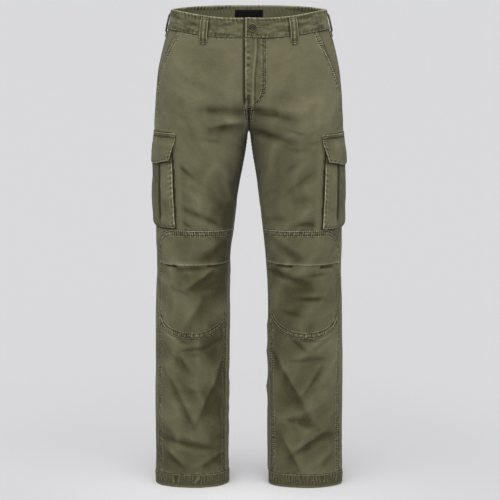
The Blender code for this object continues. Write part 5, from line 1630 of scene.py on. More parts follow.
def make_hand_pocket(side, finish):
    """The facing that shows in the slash, and the bag behind the front."""
    name = SIDE_NAMES[side]
    height = HAND_POCKET_TOP - HAND_POCKET_BOTTOM
    level, share = grid(HAND_POCKET_TOP - height * spaced(0.217, 0.0032),
                        spaced(HAND_POCKET_WIDTH, 0.0030))
    low = np.clip((HAND_POCKET_BOTTOM + HAND_POCKET_ROUND - level) / HAND_POCKET_ROUND, 0.0, 1.0)
    cut = HAND_POCKET_ROUND * (1.0 - np.sqrt(1.0 - low ** 2))
    girth = SEAM["outseam"](level) - HAND_POCKET_PAST_SEAM + (HAND_POCKET_WIDTH - cut) * share
    past_slash = girth - slash_girth(side, level)
    hidden = smoothstep(-0.010, 0.001, past_slash)
    lift = SLASH_FILL * (1.0 - hidden) - CLOTH_WALL - HAND_POCKET_DROP
    lift = lift + 0.0005 * lattice_noise(girth, level, 0.030, 161 + side) * hidden
    lift = lift + 0.0004 * lattice_noise(girth, level, 0.016, 165 + side)
    points, outward = on_form(side, girth, level, lift)
    fade = level_tone_and_light(level) - 0.06 - 0.30 * bell(past_slash, 0.004)
    obj = cloth_piece("cloth_hand_pocket_" + name, points, outward, (girth, level), fade, 0.0010,
                      finish)
    put_on(obj, points, "hand_pocket_" + name)


# ---- sewing ----------------------------------------------------------------------------------

ROW_SAMPLES = 1200
ROW_MARK = 0.3                 # a first row of stitches lies this share of the way to the second
STITCH_START = 0.3             # share of the pitch before the first stitch of a row


def leg_surface(side, girth, level, extra=0.0):
    lift, _, _ = leg_relief(side, girth, level)
    return on_form(side, girth, level, lift + extra)


def hem_surface(side, girth, level, extra=0.0):
    lift, _, _ = hem_relief(side, girth, level)
    return on_form(side, girth, level, lift + HEM_PROUD + extra)


def band_surface(share, level, extra=0.0):
    side, girth = waist_place(share, level)
    lift, _, _ = band_relief(share, level)
    return on_form(side, girth, level, BAND_PROUD + lap_lift(share, level) + lift + extra)


def pocket_surface(side, across, level, extra=0.0):
    lift, _, _ = pocket_relief(side, across, level)
    return pocket_point(side, across, level, pocket_stand(level) + lift + extra)


def unit(vectors):
    return vectors / np.maximum(np.linalg.norm(vectors, axis=-1, keepdims=True), 1e-9)


def stitch_places(points, normals, pitch):
    """Middles, directions and normals of stitches at even steps along a line of points."""
    run = np.concatenate(([0.0], np.cumsum(np.linalg.norm(np.diff(points, axis=0), axis=1))))
    at = np.arange(STITCH_START * pitch, run[-1], pitch)

    def place(where, values):
        return np.stack([np.interp(where, run, column) for column in values.T], axis=1)

    return place(at, points), place(at + pitch / 3, points) - place(at - pitch / 3, points), place(
        at, normals)


def stitch_rows(drawn, lift, pitch):
    """Stitches at a height over the cloth, along lines drawn as a surface and two places on it."""
    return [stitch_places(*surface(u, v, lift), pitch) for surface, u, v in drawn]


def stitch_mesh(name, rows, size, finish):
    """One mesh of all stitches: a rounded grain laid at each place and repeated as an array."""
    bm = bmesh.new()
    bmesh.ops.create_icosphere(bm, subdivisions=1, radius=0.5)
    grain = np.array([vert.co for vert in bm.verts])
    loops = np.array([[vert.index for vert in face.verts] for face in bm.faces])
    bm.free()
    parts = []
    for middle, along, normal in rows:
        along = unit(along)
        normal = unit(normal - along * np.sum(along * normal, axis=1, keepdims=True))
        axes = np.stack((along, np.cross(normal, along), normal), axis=1)
        parts.append(middle[:, None, :] + (grain * size) @ axes)
    verts = np.concatenate(parts).reshape(-1, 3)
    first = np.arange(len(verts) // len(grain)) * len(grain)
    faces = (loops[None] + first[:, None, None]).reshape(-1, 3)
    mesh = bpy.data.meshes.new(name)
    mesh.from_pydata(verts.tolist(), [], faces.tolist())
    mesh.shade_smooth()
    wear(link(mesh, finish), "olive_twill")





def leg_lines(side):
    """Every row of stitches on a leg, by girth and level."""
    drawn = []

    def add(girth, level):
        drawn.append((partial(leg_surface, side), girth, level))

    def add_pair(girth, rows, level):
        """Two rows beside a seam."""
        for share in (ROW_MARK, 1.0):
            add(girth + share * rows, level)

    def add_across(seam, offset, inset=0.0):
        """A row along a knee seam, ending an inset short of its two ends."""
        share = np.linspace(0.012, 0.990, ROW_SAMPLES)
        share = np.clip(share + inset * (1 - 2 * share), 0.0, 1.0)
        level = knee_seam(seam, share) + offset
        low = SEAM["outseam"](level)
        add(low + (front_end(level) - low) * share, level)

    # outseam, above the flap and below the pocket
    hung, slash_bottom = POCKET_HANG[side], SLASHES[side][1]
    for low, high in ((FLAP_TOP + hung + 0.001, slash_bottom - 0.002),
                      (HEM_TOP + 0.002, POCKET_BOTTOM + hung - 0.002)):
        level = np.linspace(high, low, ROW_SAMPLES)
        add_pair(SEAM["outseam"](level), OUTSEAM_ROWS, level)
    # inseam, from below the fork
    level = np.linspace(-0.262, HEM_TOP + 0.002, ROW_SAMPLES)
    add_pair(front_end(level), -INSEAM_ROWS, level)
    # crotch seam below the fly, and the seat seam, one row on each leg
    rise = np.linspace(1.0, 0.0, ROW_SAMPLES) ** 2
    level = CROTCH + 0.0006 + (FLY_BOTTOM - 0.003 - CROTCH) * rise
    add(front_end(level) - (0.0018 if side > 0 else 0.0058), level)
    level = CROTCH + 0.0006 + (BAND_BOTTOM - 0.002 - CROTCH) * rise
    add(back_end(level) + (0.0020 if side > 0 else 0.0065), level)
    add_across("top", -ROW_MARK * KNEE_TOP_ROWS)
    add_across("top", -KNEE_TOP_ROWS, 0.035)
    add_across("middle", ROW_MARK * KNEE_MIDDLE_ROWS)
    add_across("bottom", ROW_MARK * KNEE_BOTTOM_ROWS, 0.008)
    add_across("bottom", KNEE_BOTTOM_ROWS, 0.035)
    level = np.linspace(BAND_BOTTOM - 0.002, slash_bottom + 0.012, ROW_SAMPLES)
    add_pair(slash_girth(side, level), SLASH_ROWS, level)
    return drawn


def hem_lines(side):
    girth = np.linspace(-float(back_whole(HEM_TOP)), float(front_whole(HEM_TOP)), 2 * ROW_SAMPLES)
    return [(partial(hem_surface, side), girth, np.full(girth.shape, HEM_TOP - HEM_ROW))]


def band_lines():
    """Rows along the band's two edges, and down its lapped end."""
    run = waist_run()
    share = np.linspace(-1.0, 1.0 + (LAP_END_X - 0.0022) / run, 4 * ROW_SAMPLES)
    drawn = [(band_surface, share, np.full(share.shape, level)) for level in
             (WAIST_TOP - 0.0040, BAND_BOTTOM + 0.0019, BAND_BOTTOM + BAND_ROWS)]
    level = np.linspace(WAIST_TOP - 0.003, BAND_BOTTOM + 0.003, ROW_SAMPLES)
    return drawn + [(band_surface, np.full(level.shape, 1.0 + (LAP_END_X - 0.0024) / run), level)]


def pocket_lines(side):
    """Two rows down the pocket's sides and round its foot."""
    drawn = []
    arc = np.linspace(0.0, math.pi / 2, ROW_SAMPLES // 6)
    for inset in (ROW_MARK * POCKET_ROWS, POCKET_ROWS):
        radius = max(POCKET_ROUND - inset, 0.0005)
        turn_across = POCKET_HALF - inset - radius * (1.0 - np.cos(arc))
        turn_level = POCKET_BOTTOM + inset + radius * (1.0 - np.sin(arc))
        side_level = np.linspace(FLAP_BOTTOM + 0.004, turn_level[0], ROW_SAMPLES // 2)
        across = np.concatenate((np.full(side_level.shape, turn_across[0]), turn_across))
        level = np.concatenate((side_level, turn_level))
        drawn.append((partial(pocket_surface, side), np.concatenate((across, -across[::-1])),
                      np.concatenate((level, level[::-1]))))
    return drawn


def flap_lines(side):
    """Two rows round the flap and two along its top."""
    drawn = []
    share = np.linspace(1.0, -1.0, ROW_SAMPLES)[1:-1]
    for inset in (ROW_MARK * FLAP_ROWS, FLAP_ROWS):
        level = np.linspace(FLAP_TOP - 0.003, FLAP_BOTTOM + FLAP_CUT + inset, ROW_SAMPLES // 3)
        edge = flap_half(level) - inset * 1.05
        drawn.append((partial(flap_point, side),
                      np.concatenate((edge, share * edge[-1], -edge[::-1])),
                      np.concatenate((level, flap_bottom(share) + inset, level[::-1]))))
    for level in (FLAP_SEWN + 0.0032, FLAP_SEWN - 0.0035):
        across = np.linspace(-1.0, 1.0, ROW_SAMPLES) * (float(flap_half(level)) - 0.0022)
        drawn.append((partial(flap_point, side), across, np.full(across.shape, level)))
    return drawn


def fly_lines():
    """A row beside the fly's free edge and two down its curve."""
    level = np.linspace(BAND_BOTTOM - 0.003, FLY_BOTTOM + 0.010, ROW_SAMPLES)
    drawn = [(fly_point, np.full(level.shape, FLY_EDGE_X + 0.0026), level)]
    turn = np.linspace(0.0, math.pi / 2, ROW_SAMPLES // 3)
    for inset in (ROW_MARK * FLY_ROWS, FLY_ROWS):
        width, height = FLY_STITCH_X - FLY_EDGE_X - inset, FLY_CURVE - inset
        straight = np.linspace(BAND_BOTTOM - 0.002, FLY_BOTTOM + FLY_CURVE, ROW_SAMPLES // 2)
        x = FLY_EDGE_X + width * np.concatenate((np.ones(straight.shape), np.cos(turn)))
        level = np.concatenate((straight, FLY_BOTTOM + FLY_CURVE - height * np.sin(turn)))
        keep = x > FLY_EDGE_X + 0.003
        drawn.append((fly_point, x[keep], level[keep]))
    return drawn


def loop_lines():
    drop = np.linspace(0.002, LOOP_LENGTH - 0.002, 300)
    return [(partial(loop_surface, place), np.full(drop.shape, across), drop)
            for _, place in loop_places()
            for across in (LOOP_STITCH - LOOP_WIDTH / 2, LOOP_WIDTH / 2 - LOOP_STITCH)]


TACK_SIZE = (0.00272, 0.0005, 0.0006)
TACK_LIFT = 0.0003


def tack(surface, start, end, count):
    """A bar tack: short stitches side by side, zigzagging from one place to another."""
    points, normals = surface(*np.linspace(start, end, count).T, TACK_LIFT)
    along = unit(np.gradient(points, axis=0))
    return points, np.cross(normals, along) + along * 0.25, normals


def tack_places():
    """Bar tacks: belt loops, slash pockets, fly and flap corners."""
    tacks = []
    half = LOOP_WIDTH / 2 - 0.002
    for _, place in loop_places():
        for drop in (0.0050, LOOP_LENGTH - 0.0050):
            tacks.append(tack(partial(loop_surface, place), (-half, drop), (half, drop), 20))
    for side in SIDES:
        for level in (BAND_BOTTOM - 0.006, SLASHES[side][1] + 0.010):
            girth = float(slash_girth(side, np.array(level)))
            tacks.append(tack(partial(leg_surface, side), (girth + 0.001, level),
                              (girth + 0.011, level), 14))
        for edge in (-1, 1):
            corner = edge * (float(flap_half(FLAP_TOP)) - 0.003)
            tacks.append(tack(partial(flap_point, side), (corner, FLAP_TOP - 0.004),
                              (corner - edge * 0.012, FLAP_TOP - 0.004), 14))
    level = FLY_BOTTOM + 0.0355
    tacks.append(tack(fly_point, (FLY_EDGE_X + 0.001, level), (FLY_EDGE_X + 0.013, level), 15))
    tacks.append(tack(fly_point, (FLY_EDGE_X + 0.003, FLY_BOTTOM + 0.006),
                      (FLY_EDGE_X + 0.003, FLY_BOTTOM + 0.017), 14))
    return tacks


BUTTONHOLE_LENGTH = 0.019
BUTTONHOLE_STITCH = (0.0020, 0.0005, 0.0007)
BUTTONHOLE_SIDE = 22           # stitches down one side of it
BUTTONHOLE_HALF = 0.0022
EYELET_RADIUS = 0.0036
STITCH_PROUD = 0.18            # share of the thread's width by which its middle stands up


def buttonhole_places():
    """Close stitches round a keyhole that runs from under the button towards the side."""
    def surface(x, level):
        return band_surface(1.0 - x / waist_run(), level, 0.0004)

    turn = np.linspace(math.radians(150), math.radians(-150), 26)
    end = np.linspace(math.pi / 2, -math.pi / 2, 7)
    side_x = np.linspace(BUTTON_X + 0.002, BUTTON_X + BUTTONHOLE_LENGTH, BUTTONHOLE_SIDE)
    side = np.ones(BUTTONHOLE_SIDE)
    x = np.concatenate((side_x, side_x[-1] + BUTTONHOLE_HALF * np.cos(end), side_x[::-1],
                        BUTTON_X + EYELET_RADIUS * np.cos(turn) - 0.001))
    level = BUTTON_LEVEL + np.concatenate((
        BUTTONHOLE_HALF * side, BUTTONHOLE_HALF * np.sin(end), -BUTTONHOLE_HALF * side,
        EYELET_RADIUS * np.sin(turn)))
    points, normals = surface(x, level)
    away = unit(np.stack((x - np.clip(x, BUTTON_X, side_x[-1]), level - BUTTON_LEVEL), axis=1))
    outer, _ = surface(x + away[:, 0] * 0.001, level + away[:, 1] * 0.001)
    return points, outer - points, normals


# ---- looks -----------------------------------------------------------------------------------


def linear(code):
    """An sRGB hex colour as linear red, green, blue and alpha."""
    channels = [int(code[i:i + 2], 16) / 255.0 for i in (1, 3, 5)]
    return tuple(c / 12.92 if c <= 0.04045 else ((c + 0.055) / 1.055) ** 2.4
                 for c in channels) + (1.0,)


def node(tree, kind, settings=None, links=None):
    """Adds a node with its properties, its sockets' values and the outputs that feed it."""
    made = tree.nodes.new(kind)
    for key, value in (settings or {}).items():
        if isinstance(key, int) or key in made.inputs:
            made.inputs[key].default_value = value
        else:
            setattr(made, key, value)
    for key, source in (links or {}).items():
        tree.links.new(source, made.inputs[key])
    return made


def new_material(name):
    finish = bpy.data.materials.new(name)
    finish.use_nodes = True
    tree = finish.node_tree
    tree.nodes.clear()
    return finish, tree


def finish_shader(tree, settings, colour, normal=None):
    links = {"Base Color": colour}
    if normal is not None:
        links["Normal"] = normal
    shader = node(tree, "ShaderNodeBsdfPrincipled", settings, links)
    node(tree, "ShaderNodeOutputMaterial", links={"Surface": shader.outputs["BSDF"]})


SHADOW_SHARE = 0.33               # share of the colour ramp below the crease colour, where it runs into painted deep shadow
PAINTED_SHADOW_DARKNESS = 0.14
TICK_PITCH = 5.0               # millimetres of cloth from one tick beside a seam to the next
TICK_PALE = 0.66               # ticks darken the cloth more than they lighten it
TICK_STRENGTH = 0.33
# distance between the bands of a wave texture of scale 1, by the way they run
WAVE_BANDS = {"X": 0.314, "Y": 0.314, "DIAGONAL": 0.444}
WARP_PITCH = 0.8               # of the label, coarser than the real 0.2 mm so that it shows
FLOOR_PAINTED_LIGHT = 1.48             # the floor round the garment is painted this many times paler, a pool of painted light
BACKDROP = 0.71                # strength of the air as the camera sees it


# shade of the cloth by its seam mark: a ditch, a pale worn edge, two dark rows of stitches, and
# past 3 the roll into the ditch from the side without stitches
SEAM_PROFILE = (
    (0.00, 0.06), (0.05, 0.80), (0.15, 0.82), (0.21, 0.20), (0.38, 0.22), (0.47, 0.58),
    (0.60, 0.44), (0.80, 0.58), (0.90, 0.24), (1.08, 0.24), (1.20, 0.70), (1.40, 0.48),
    (1.70, 0.50), (3.55, 0.50), (3.74, 0.58), (3.86, 0.50), (4.00, 0.06),
)
PUCKER_PROFILE = (
    (0.00, 0.9), (0.30, 1.0), (1.00, 1.0), (1.70, 0.12), (2.00, 0.0), (3.00, 0.0),
    (3.40, 0.35), (4.00, 0.9),
)
# how strongly the needle holes and the ticks between the rows show there
TICK_PROFILE = (
    (0.00, 0.3), (0.16, 0.4), (0.22, 0.9), (0.38, 0.9), (0.46, 0.45), (0.84, 0.45), (0.92, 0.9),
    (1.08, 0.9), (1.25, 0.35), (1.60, 0.0), (3.70, 0.0), (4.00, 0.4),
)


def cloth_map(tree):
    """Places on the cloth in millimetres."""
    uv = node(tree, "ShaderNodeUVMap", {"uv_map": "cloth"})
    return mapping(tree, uv.outputs["UV"], (METRES_TO_MM, METRES_TO_MM, 1.0))


def mapping(tree, vector, scale, **settings):
    made = node(tree, "ShaderNodeMapping", {"Scale": scale, **settings}, {"Vector": vector})
    return made.outputs["Vector"]


def object_map(tree):
    return node(tree, "ShaderNodeTexCoord").outputs["Object"]


def noise(tree, vector, scale, detail, roughness=0.5):
    made = node(tree, "ShaderNodeTexNoise", {
        "Scale": scale, "Detail": detail, "Roughness": roughness}, {"Vector": vector})
    return made.outputs["Fac"]


def wave(tree, vector, run, pitch, distortion, detail=2.0, detail_scale=1.0):
    """Lines that run one way, with a pitch in millimetres."""
    made = node(tree, "ShaderNodeTexWave", {
        "wave_type": "BANDS", "bands_direction": run, "Scale": WAVE_BANDS[run] / pitch,
        "Distortion": distortion, "Detail": detail, "Detail Scale": detail_scale},
        {"Vector": vector})
    return made.outputs["Fac"]


def bump(tree, height, strength, distance, over=None):
    """A bump, over another one where that is given."""
    links = {"Height": height} if over is None else {"Height": height, "Normal": over}
    made = node(tree, "ShaderNodeBump", {"Strength": strength, "Distance": distance}, links)
    return made.outputs["Normal"]


def ramp(tree, share, stops):
    """A colour ramp through stops, each a position and a colour."""
    made = node(tree, "ShaderNodeValToRGB", links={"Fac": share})
    elements = made.color_ramp.elements
    while len(elements) < len(stops):
        elements.new(1.0)
    for element, (position, colour) in zip(elements, stops):
        element.position, element.color = position, colour
    return made.outputs["Color"]


def blend(tree, share, low, high):
    """A colour between two others."""
    made = node(tree, "ShaderNodeMix", {"data_type": "RGBA"}, {0: share})
    made.inputs[6].default_value, made.inputs[7].default_value = low, high
    return made.outputs[2]


def profile_ramp(tree, stops, mark):
    """A grey ramp over the seam marks 0 to 4."""
    return ramp(tree, maths(tree, "MULTIPLY", mark, 0.25),
                [(place / 4, (grey, grey, grey, 1.0)) for place, grey in stops])


def maths(tree, operation, *values):
    """A Math node over sockets and plain numbers."""
    made = node(tree, "ShaderNodeMath", {"operation": operation})
    for index, value in enumerate(values):
        if isinstance(value, (int, float)):
            made.inputs[index].default_value = value
        else:
            tree.links.new(value, made.inputs[index])
    return made.outputs["Value"]


def seam_shade(tree, in_mm):
    """Shade and height beside seams: stitched rows, and puckers drawn up across them."""
    seams = node(tree, "ShaderNodeAttribute", {"attribute_name": "seams"})
    split = node(tree, "ShaderNodeSeparateColor", links={"Color": seams.outputs["Color"]})
    outer, inner, knees = (split.outputs[i] for i in range(3))
    ends = seams.outputs["Alpha"]
    low_upright = maths(tree, "MINIMUM", outer, inner)
    low_level = maths(tree, "MINIMUM", knees, ends)
    low = maths(tree, "MINIMUM", low_upright, low_level)
    high = maths(tree, "MAXIMUM", maths(tree, "MAXIMUM", outer, inner),
                 maths(tree, "MAXIMUM", knees, ends))

    def choose(share, first, second):
        """The first where the share is 1, the second where it is 0."""
        other = maths(tree, "MULTIPLY", maths(tree, "SUBTRACT", 1.0, share), second)
        return maths(tree, "MULTIPLY_ADD", share, first, other)

    mark = choose(maths(tree, "LESS_THAN", low, 2.0), low, high)
    upright = maths(tree, "LESS_THAN", low_upright, low_level)
    ripples, ticks = [], []
    for scale, run in (((1 / 9.0, 1 / 3.4, 1.0), "Y"), ((1 / 3.4, 1 / 9.0, 1.0), "X")):
        squeezed = mapping(tree, in_mm, scale, Rotation=(0, 0, 0.25))
        ripple = noise(tree, squeezed, 1.0, 1.5, 0.6)
        ripples.append(maths(tree, "SUBTRACT", ripple, 0.5))
        tick = wave(tree, in_mm, run, TICK_PITCH, 2.0, 1.0, 0.12)
        ticks.append(maths(tree, "SUBTRACT", tick, TICK_PALE))
    reach = profile_ramp(tree, PUCKER_PROFILE, mark)
    ripple = maths(tree, "MULTIPLY", choose(upright, *ripples), reach)
    reach = profile_ramp(tree, TICK_PROFILE, mark)
    tick = maths(tree, "MULTIPLY", choose(upright, *ticks), reach)
    # here and there the thread has pulled harder
    pull = maths(tree, "MULTIPLY_ADD", noise(tree, in_mm, 1 / 45.0, 1.0), 4.4 * TICK_STRENGTH,
                 -1.3 * TICK_STRENGTH)
    ripple = maths(tree, "MULTIPLY_ADD", tick, maths(tree, "MAXIMUM", pull, 0.0), ripple)
    # the rows are broken up, as thread sinks in here and there
    strength = maths(tree, "MULTIPLY_ADD", noise(tree, in_mm, 1 / 7.0, 2.0), 1.3, 0.25)
    rows = maths(tree, "SUBTRACT", profile_ramp(tree, SEAM_PROFILE, mark), 0.5)
    return maths(tree, "MULTIPLY", rows, strength), ripple


def twill_material(name, cloth, worn, flat, shaded):
    """Washed cotton twill: fine diagonal wales, a dry matt face, pale worn ridges and edges, and
    painted shade in creases and hollows.
    """
    finish, tree = new_material(name)
    in_mm, place = cloth_map(tree), object_map(tree)
    wale = wave(tree, in_mm, "DIAGONAL", cloth.wale, 1.2, 2.0, 1.5)
    # slubs run up the cloth, a little thicker than real yarn so that they show
    yarn = noise(tree, mapping(tree, in_mm, (1 / 1.6, 1 / 6.0, 1.0)), 1.0, 3.0, 0.7)
    grain = noise(tree, place, 420.0, 3.0, 0.75)
    cloud = noise(tree, place, 38.0, 4.0, 0.6)
    rows, ripple = seam_shade(tree, in_mm)
    fade = node(tree, "ShaderNodeAttribute", {"attribute_name": "fade"})
    total = maths(tree, "MULTIPLY_ADD", rows, 1.75, fade.outputs["Fac"])
    total = maths(tree, "MULTIPLY_ADD", ripple, 1.5, total)
    for texture, weight in ((cloud, 0.16), (grain, 0.26), (yarn, 0.14), (wale, 0.08)):
        centred = maths(tree, "SUBTRACT", texture, 0.5)
        total = maths(tree, "MULTIPLY_ADD", centred, weight, total)
    # the ramp goes on below 0 into painted deep shadow
    cloth_share = 1.0 - SHADOW_SHARE
    colour = ramp(tree, maths(tree, "MULTIPLY_ADD", total, cloth_share, SHADOW_SHARE), (
        (0.0, tuple(PAINTED_SHADOW_DARKNESS * c for c in linear(shaded)[:3]) + (1.0,)),
        (SHADOW_SHARE, linear(shaded)), (SHADOW_SHARE + 0.45 * cloth_share, linear(flat)),
        (1.0, linear(worn))))
    normal = bump(tree, maths(tree, "MULTIPLY_ADD", rows, 0.9, ripple), 0.9, 0.0016)
    for height, strength, distance in ((wale, 0.5, 0.00028), (grain, 0.4, 0.0006),
                                       (cloud, 0.6, 0.0026)):
        normal = bump(tree, height, strength, distance, normal)
    finish_shader(tree, {"Roughness": 0.92, "Specular IOR Level": 0.16, "Sheen Weight": 0.06,
                         "Sheen Roughness": 0.55}, colour, normal)
    return finish


def thread_material(name, thread, pale):
    """Spun polyester thread, slightly lighter and smoother than the cloth."""
    finish, tree = new_material(name)
    twist = noise(tree, object_map(tree), 900.0, 2.0)
    colour = blend(tree, twist, linear(thread), linear(pale))
    finish_shader(tree, {"Roughness": 0.7, "Sheen Weight": 0.1}, colour,
                  bump(tree, twist, 0.4, 0.0002))
    return finish


def satin_material(name, black, edge):
    """Woven satin label: near black with a faint sheen, fine warp lines, worn at its folds."""
    finish, tree = new_material(name)
    warp = wave(tree, cloth_map(tree), "Y", WARP_PITCH, 0.6)
    fade = node(tree, "ShaderNodeAttribute", {"attribute_name": "fade"})
    worn = maths(tree, "MULTIPLY_ADD", warp, 0.25, fade.outputs["Fac"])
    colour = ramp(tree, worn, ((0.3, linear(black)), (1.0, linear(edge))))
    finish_shader(tree, {"Roughness": 0.6, "Specular IOR Level": 0.15}, colour,
                  bump(tree, warp, 0.5, 0.0001))
    return finish


def metal_material(name, dark, bright):
    """Antiqued brass: brown-black in the hollows, rubbed bright on the rims, finely brushed."""
    finish, tree = new_material(name)
    shape = node(tree, "ShaderNodeNewGeometry")
    spots = noise(tree, object_map(tree), 1600.0, 3.0)
    rubbed = maths(tree, "MULTIPLY_ADD", spots, 0.25, shape.outputs["Pointiness"])
    colour = ramp(tree, rubbed, ((0.60, linear(dark)), (0.77, linear(bright))))
    finish_shader(tree, {"Metallic": 0.7, "Roughness": 0.45}, colour,
                  bump(tree, spots, 0.3, 0.0001))
    return finish


def floor_material(name, colour):
    """Matt studio floor, pale grey, with a pool of painted light round the garment."""
    finish, tree = new_material(name)
    near = mapping(tree, object_map(tree), (1 / 0.62, 1 / 1.1, 1.0),
                   Location=(0.0, -0.06, -HEM_BOTTOM))
    painted_pool = node(tree, "ShaderNodeTexGradient", {"gradient_type": "QUADRATIC_SPHERE"},
                 {"Vector": near})
    pale = tuple(FLOOR_PAINTED_LIGHT * c for c in colour) + (1.0,)
    finish_shader(tree, {"Roughness": 0.95, "Specular IOR Level": 0.1},
                  blend(tree, painted_pool.outputs["Fac"], tuple(colour) + (1.0,), pale))
    return finish


# ---- add-on ----------------------------------------------------------------------------------


class TrousersCloth(bpy.types.PropertyGroup):
    """Cloth of the trousers."""

    worn: bpy.props.StringProperty(
        name="Worn colour", description="Where the garment wash has rubbed the cloth pale",
        default="#A5A283")
    flat: bpy.props.StringProperty(
        name="Cloth colour", description="Flat parts of the panels", default="#6C6950")
    # the trough colour is painted shade, darkening creases and hollows where shade falls
    shaded: bpy.props.StringProperty(
        name="Trough colour", description="Deep in the creases, where the dye is whole",
        default="#3A3721")
    inner: bpy.props.StringProperty(
        name="Inside colour", description="Flat parts of the facing in the waistband",
        default="#615F47")
    wale: bpy.props.FloatProperty(
        name="Wale", description="Distance between the twill's diagonal lines, in millimetres",
        default=1.3, min=0.3)


class TrousersSewing(bpy.types.PropertyGroup):
    """Seams of the trousers."""

    thread: bpy.props.StringProperty(
        name="Thread colour", description="Shaded side of the thread", default="#6B684D")
    pale: bpy.props.StringProperty(
        name="Pale thread colour", description="Rubbed side of the thread", default="#A5A182")
    pitch: bpy.props.FloatProperty(
        name="Stitch pitch", description="From one stitch to the next", default=0.0050,
        unit="LENGTH")
    length: bpy.props.FloatProperty(
        name="Stitch length", description="Length of thread that shows", default=0.0027,
        unit="LENGTH")
    width: bpy.props.FloatProperty(
        name="Thread width", description="Thickness of the thread, drawn heavy so that it shows",
        default=0.0009, unit="LENGTH")


class TrousersTrim(bpy.types.PropertyGroup):
    """Label, zip and button."""

    label: bpy.props.StringProperty(
        name="Label colour", description="The bare woven label", default="#060607")
    label_edge: bpy.props.StringProperty(
        name="Label edge colour", description="Where its folds are rubbed", default="#19191A")
    metal: bpy.props.StringProperty(
        name="Metal colour", description="Aged hollows of the button", default="#16150C")
    metal_rubbed: bpy.props.StringProperty(
        name="Rubbed metal colour", description="Rims of the button", default="#87846A")


class TrousersStudio(bpy.types.PropertyGroup):
    """Floor, light and camera."""

    floor: bpy.props.FloatVectorProperty(
        name="Floor colour", description="The studio floor", subtype="COLOR",
        default=(0.430, 0.430, 0.442))
    ambient: bpy.props.FloatProperty(
        name="Ambient light", description="Strength of the even light all round", default=0.50)
    key: bpy.props.FloatProperty(
        name="Key light", description="Strength of the broad light from above in front",
        default=3.30)
    fill: bpy.props.FloatProperty(
        name="Fill light", description="Strength of the broad light from the other side",
        default=0.95)
    lens: bpy.props.FloatProperty(
        name="Lens", description="Focal length in millimetres", default=134.97)


CAMERA_PLACE = (0.0024, -4.2, 0.10)
CAMERA_TILT = math.radians(90.0 - 8.36)
FLOOR_SIZE = 400.0
FLOOR_DROP = 0.0015            # under the hems
# name, strength setting, elevation, azimuth from the front to the right, angular size, colour
SUNS = (
    ("key_light", "key", 73.0, -16.0, 58.0, "#FFFEFC"),
    ("fill_light", "fill", 30.0, 18.0, 80.0, "#FBFCFF"),
)


class TROUSERS_OT_stage(bpy.types.Operator):
    """Floor, soft studio light and camera"""

    bl_idname = "trousers.stage"
    bl_label = "Stage"

    def execute(self, context):
        studio = context.scene.trousers_studio
        bm = bmesh.new()
        bmesh.ops.create_grid(bm, x_segments=2, y_segments=2, size=FLOOR_SIZE / 2)
        bmesh.ops.translate(bm, verts=bm.verts, vec=(0.0, 0.0, HEM_BOTTOM - FLOOR_DROP))
        mesh = bpy.data.meshes.new("studio_floor")
        bm.to_mesh(mesh)
        bm.free()
        link(mesh, floor_material("matt_studio_floor", studio.floor))
        world = bpy.data.worlds.new("studio_air")
        context.scene.world = world
        world.use_nodes = True
        back = world.node_tree.nodes["Background"]
        back.inputs["Color"].default_value = linear("#FAFBFC")
        seen = node(world.node_tree, "ShaderNodeLightPath").outputs["Is Camera Ray"]
        air = maths(world.node_tree, "MULTIPLY_ADD", seen, BACKDROP - studio.ambient,
                    studio.ambient)
        world.node_tree.links.new(air, back.inputs["Strength"])
        for name, strength, elevation, azimuth, size, colour in SUNS:
            sun = bpy.data.lights.new(name, "SUN")
            sun.energy = getattr(studio, strength)
            sun.angle = math.radians(size)
            sun.color = linear(colour)[:3]
            lamp = bpy.data.objects.new(name, sun)
            context.scene.collection.objects.link(lamp)
            up, turn = math.radians(elevation), math.radians(azimuth)
            towards = Vector((math.sin(turn) * math.cos(up), -math.cos(turn) * math.cos(up),
                              math.sin(up)))
            lamp.rotation_euler = towards.to_track_quat("Z", "Y").to_euler()
        camera = bpy.data.cameras.new("studio_camera")
        camera.lens = studio.lens
        camera.sensor_width = 36.0
        camera.clip_end = 1000.0
        stand = bpy.data.objects.new("studio_camera", camera)
        context.scene.collection.objects.link(stand)
        stand.location = CAMERA_PLACE
        stand.rotation_euler = (CAMERA_TILT, 0.0, 0.0)
        context.scene.camera = stand
        context.scene.view_settings.view_transform = "Standard"
        return {"FINISHED"}


def cloth_finish(context, inside=False):
    """The twill, made once for the outer cloth and once for the inside of the band."""
    cloth = context.scene.trousers_cloth
    name = "washed_cotton_twill_inside" if inside else "washed_cotton_twill"
    found = bpy.data.materials.get(name)
    return found or twill_material(name, cloth, cloth.worn, cloth.inner if inside else cloth.flat,
                                   cloth.shaded)


def thread_finish(context):
    sewing = context.scene.trousers_sewing
    found = bpy.data.materials.get("spun_polyester_thread")
    return found or thread_material("spun_polyester_thread", sewing.thread, sewing.pale)


class TROUSERS_OT_fronts(bpy.types.Operator):
    """Fronts, knee panels and shins"""

    bl_idname = "trousers.fronts"
    bl_label = "Fronts"

    def execute(self, context):
        for side in SIDES:
            make_front(side, cloth_finish(context))
        return {"FINISHED"}


class TROUSERS_OT_backs(bpy.types.Operator):
    """Backs, in one piece from the band to the hem"""

    bl_idname = "trousers.backs"
    bl_label = "Backs"

    def execute(self, context):
        for side in SIDES:
            make_back(side, cloth_finish(context))
        return {"FINISHED"}


class TROUSERS_OT_hems(bpy.types.Operator):
    """Turned-up hems, roped by washing"""

    bl_idname = "trousers.hems"
    bl_label = "Hems"

    def execute(self, context):
        for side in SIDES:
            make_hem(side, cloth_finish(context))
        return {"FINISHED"}


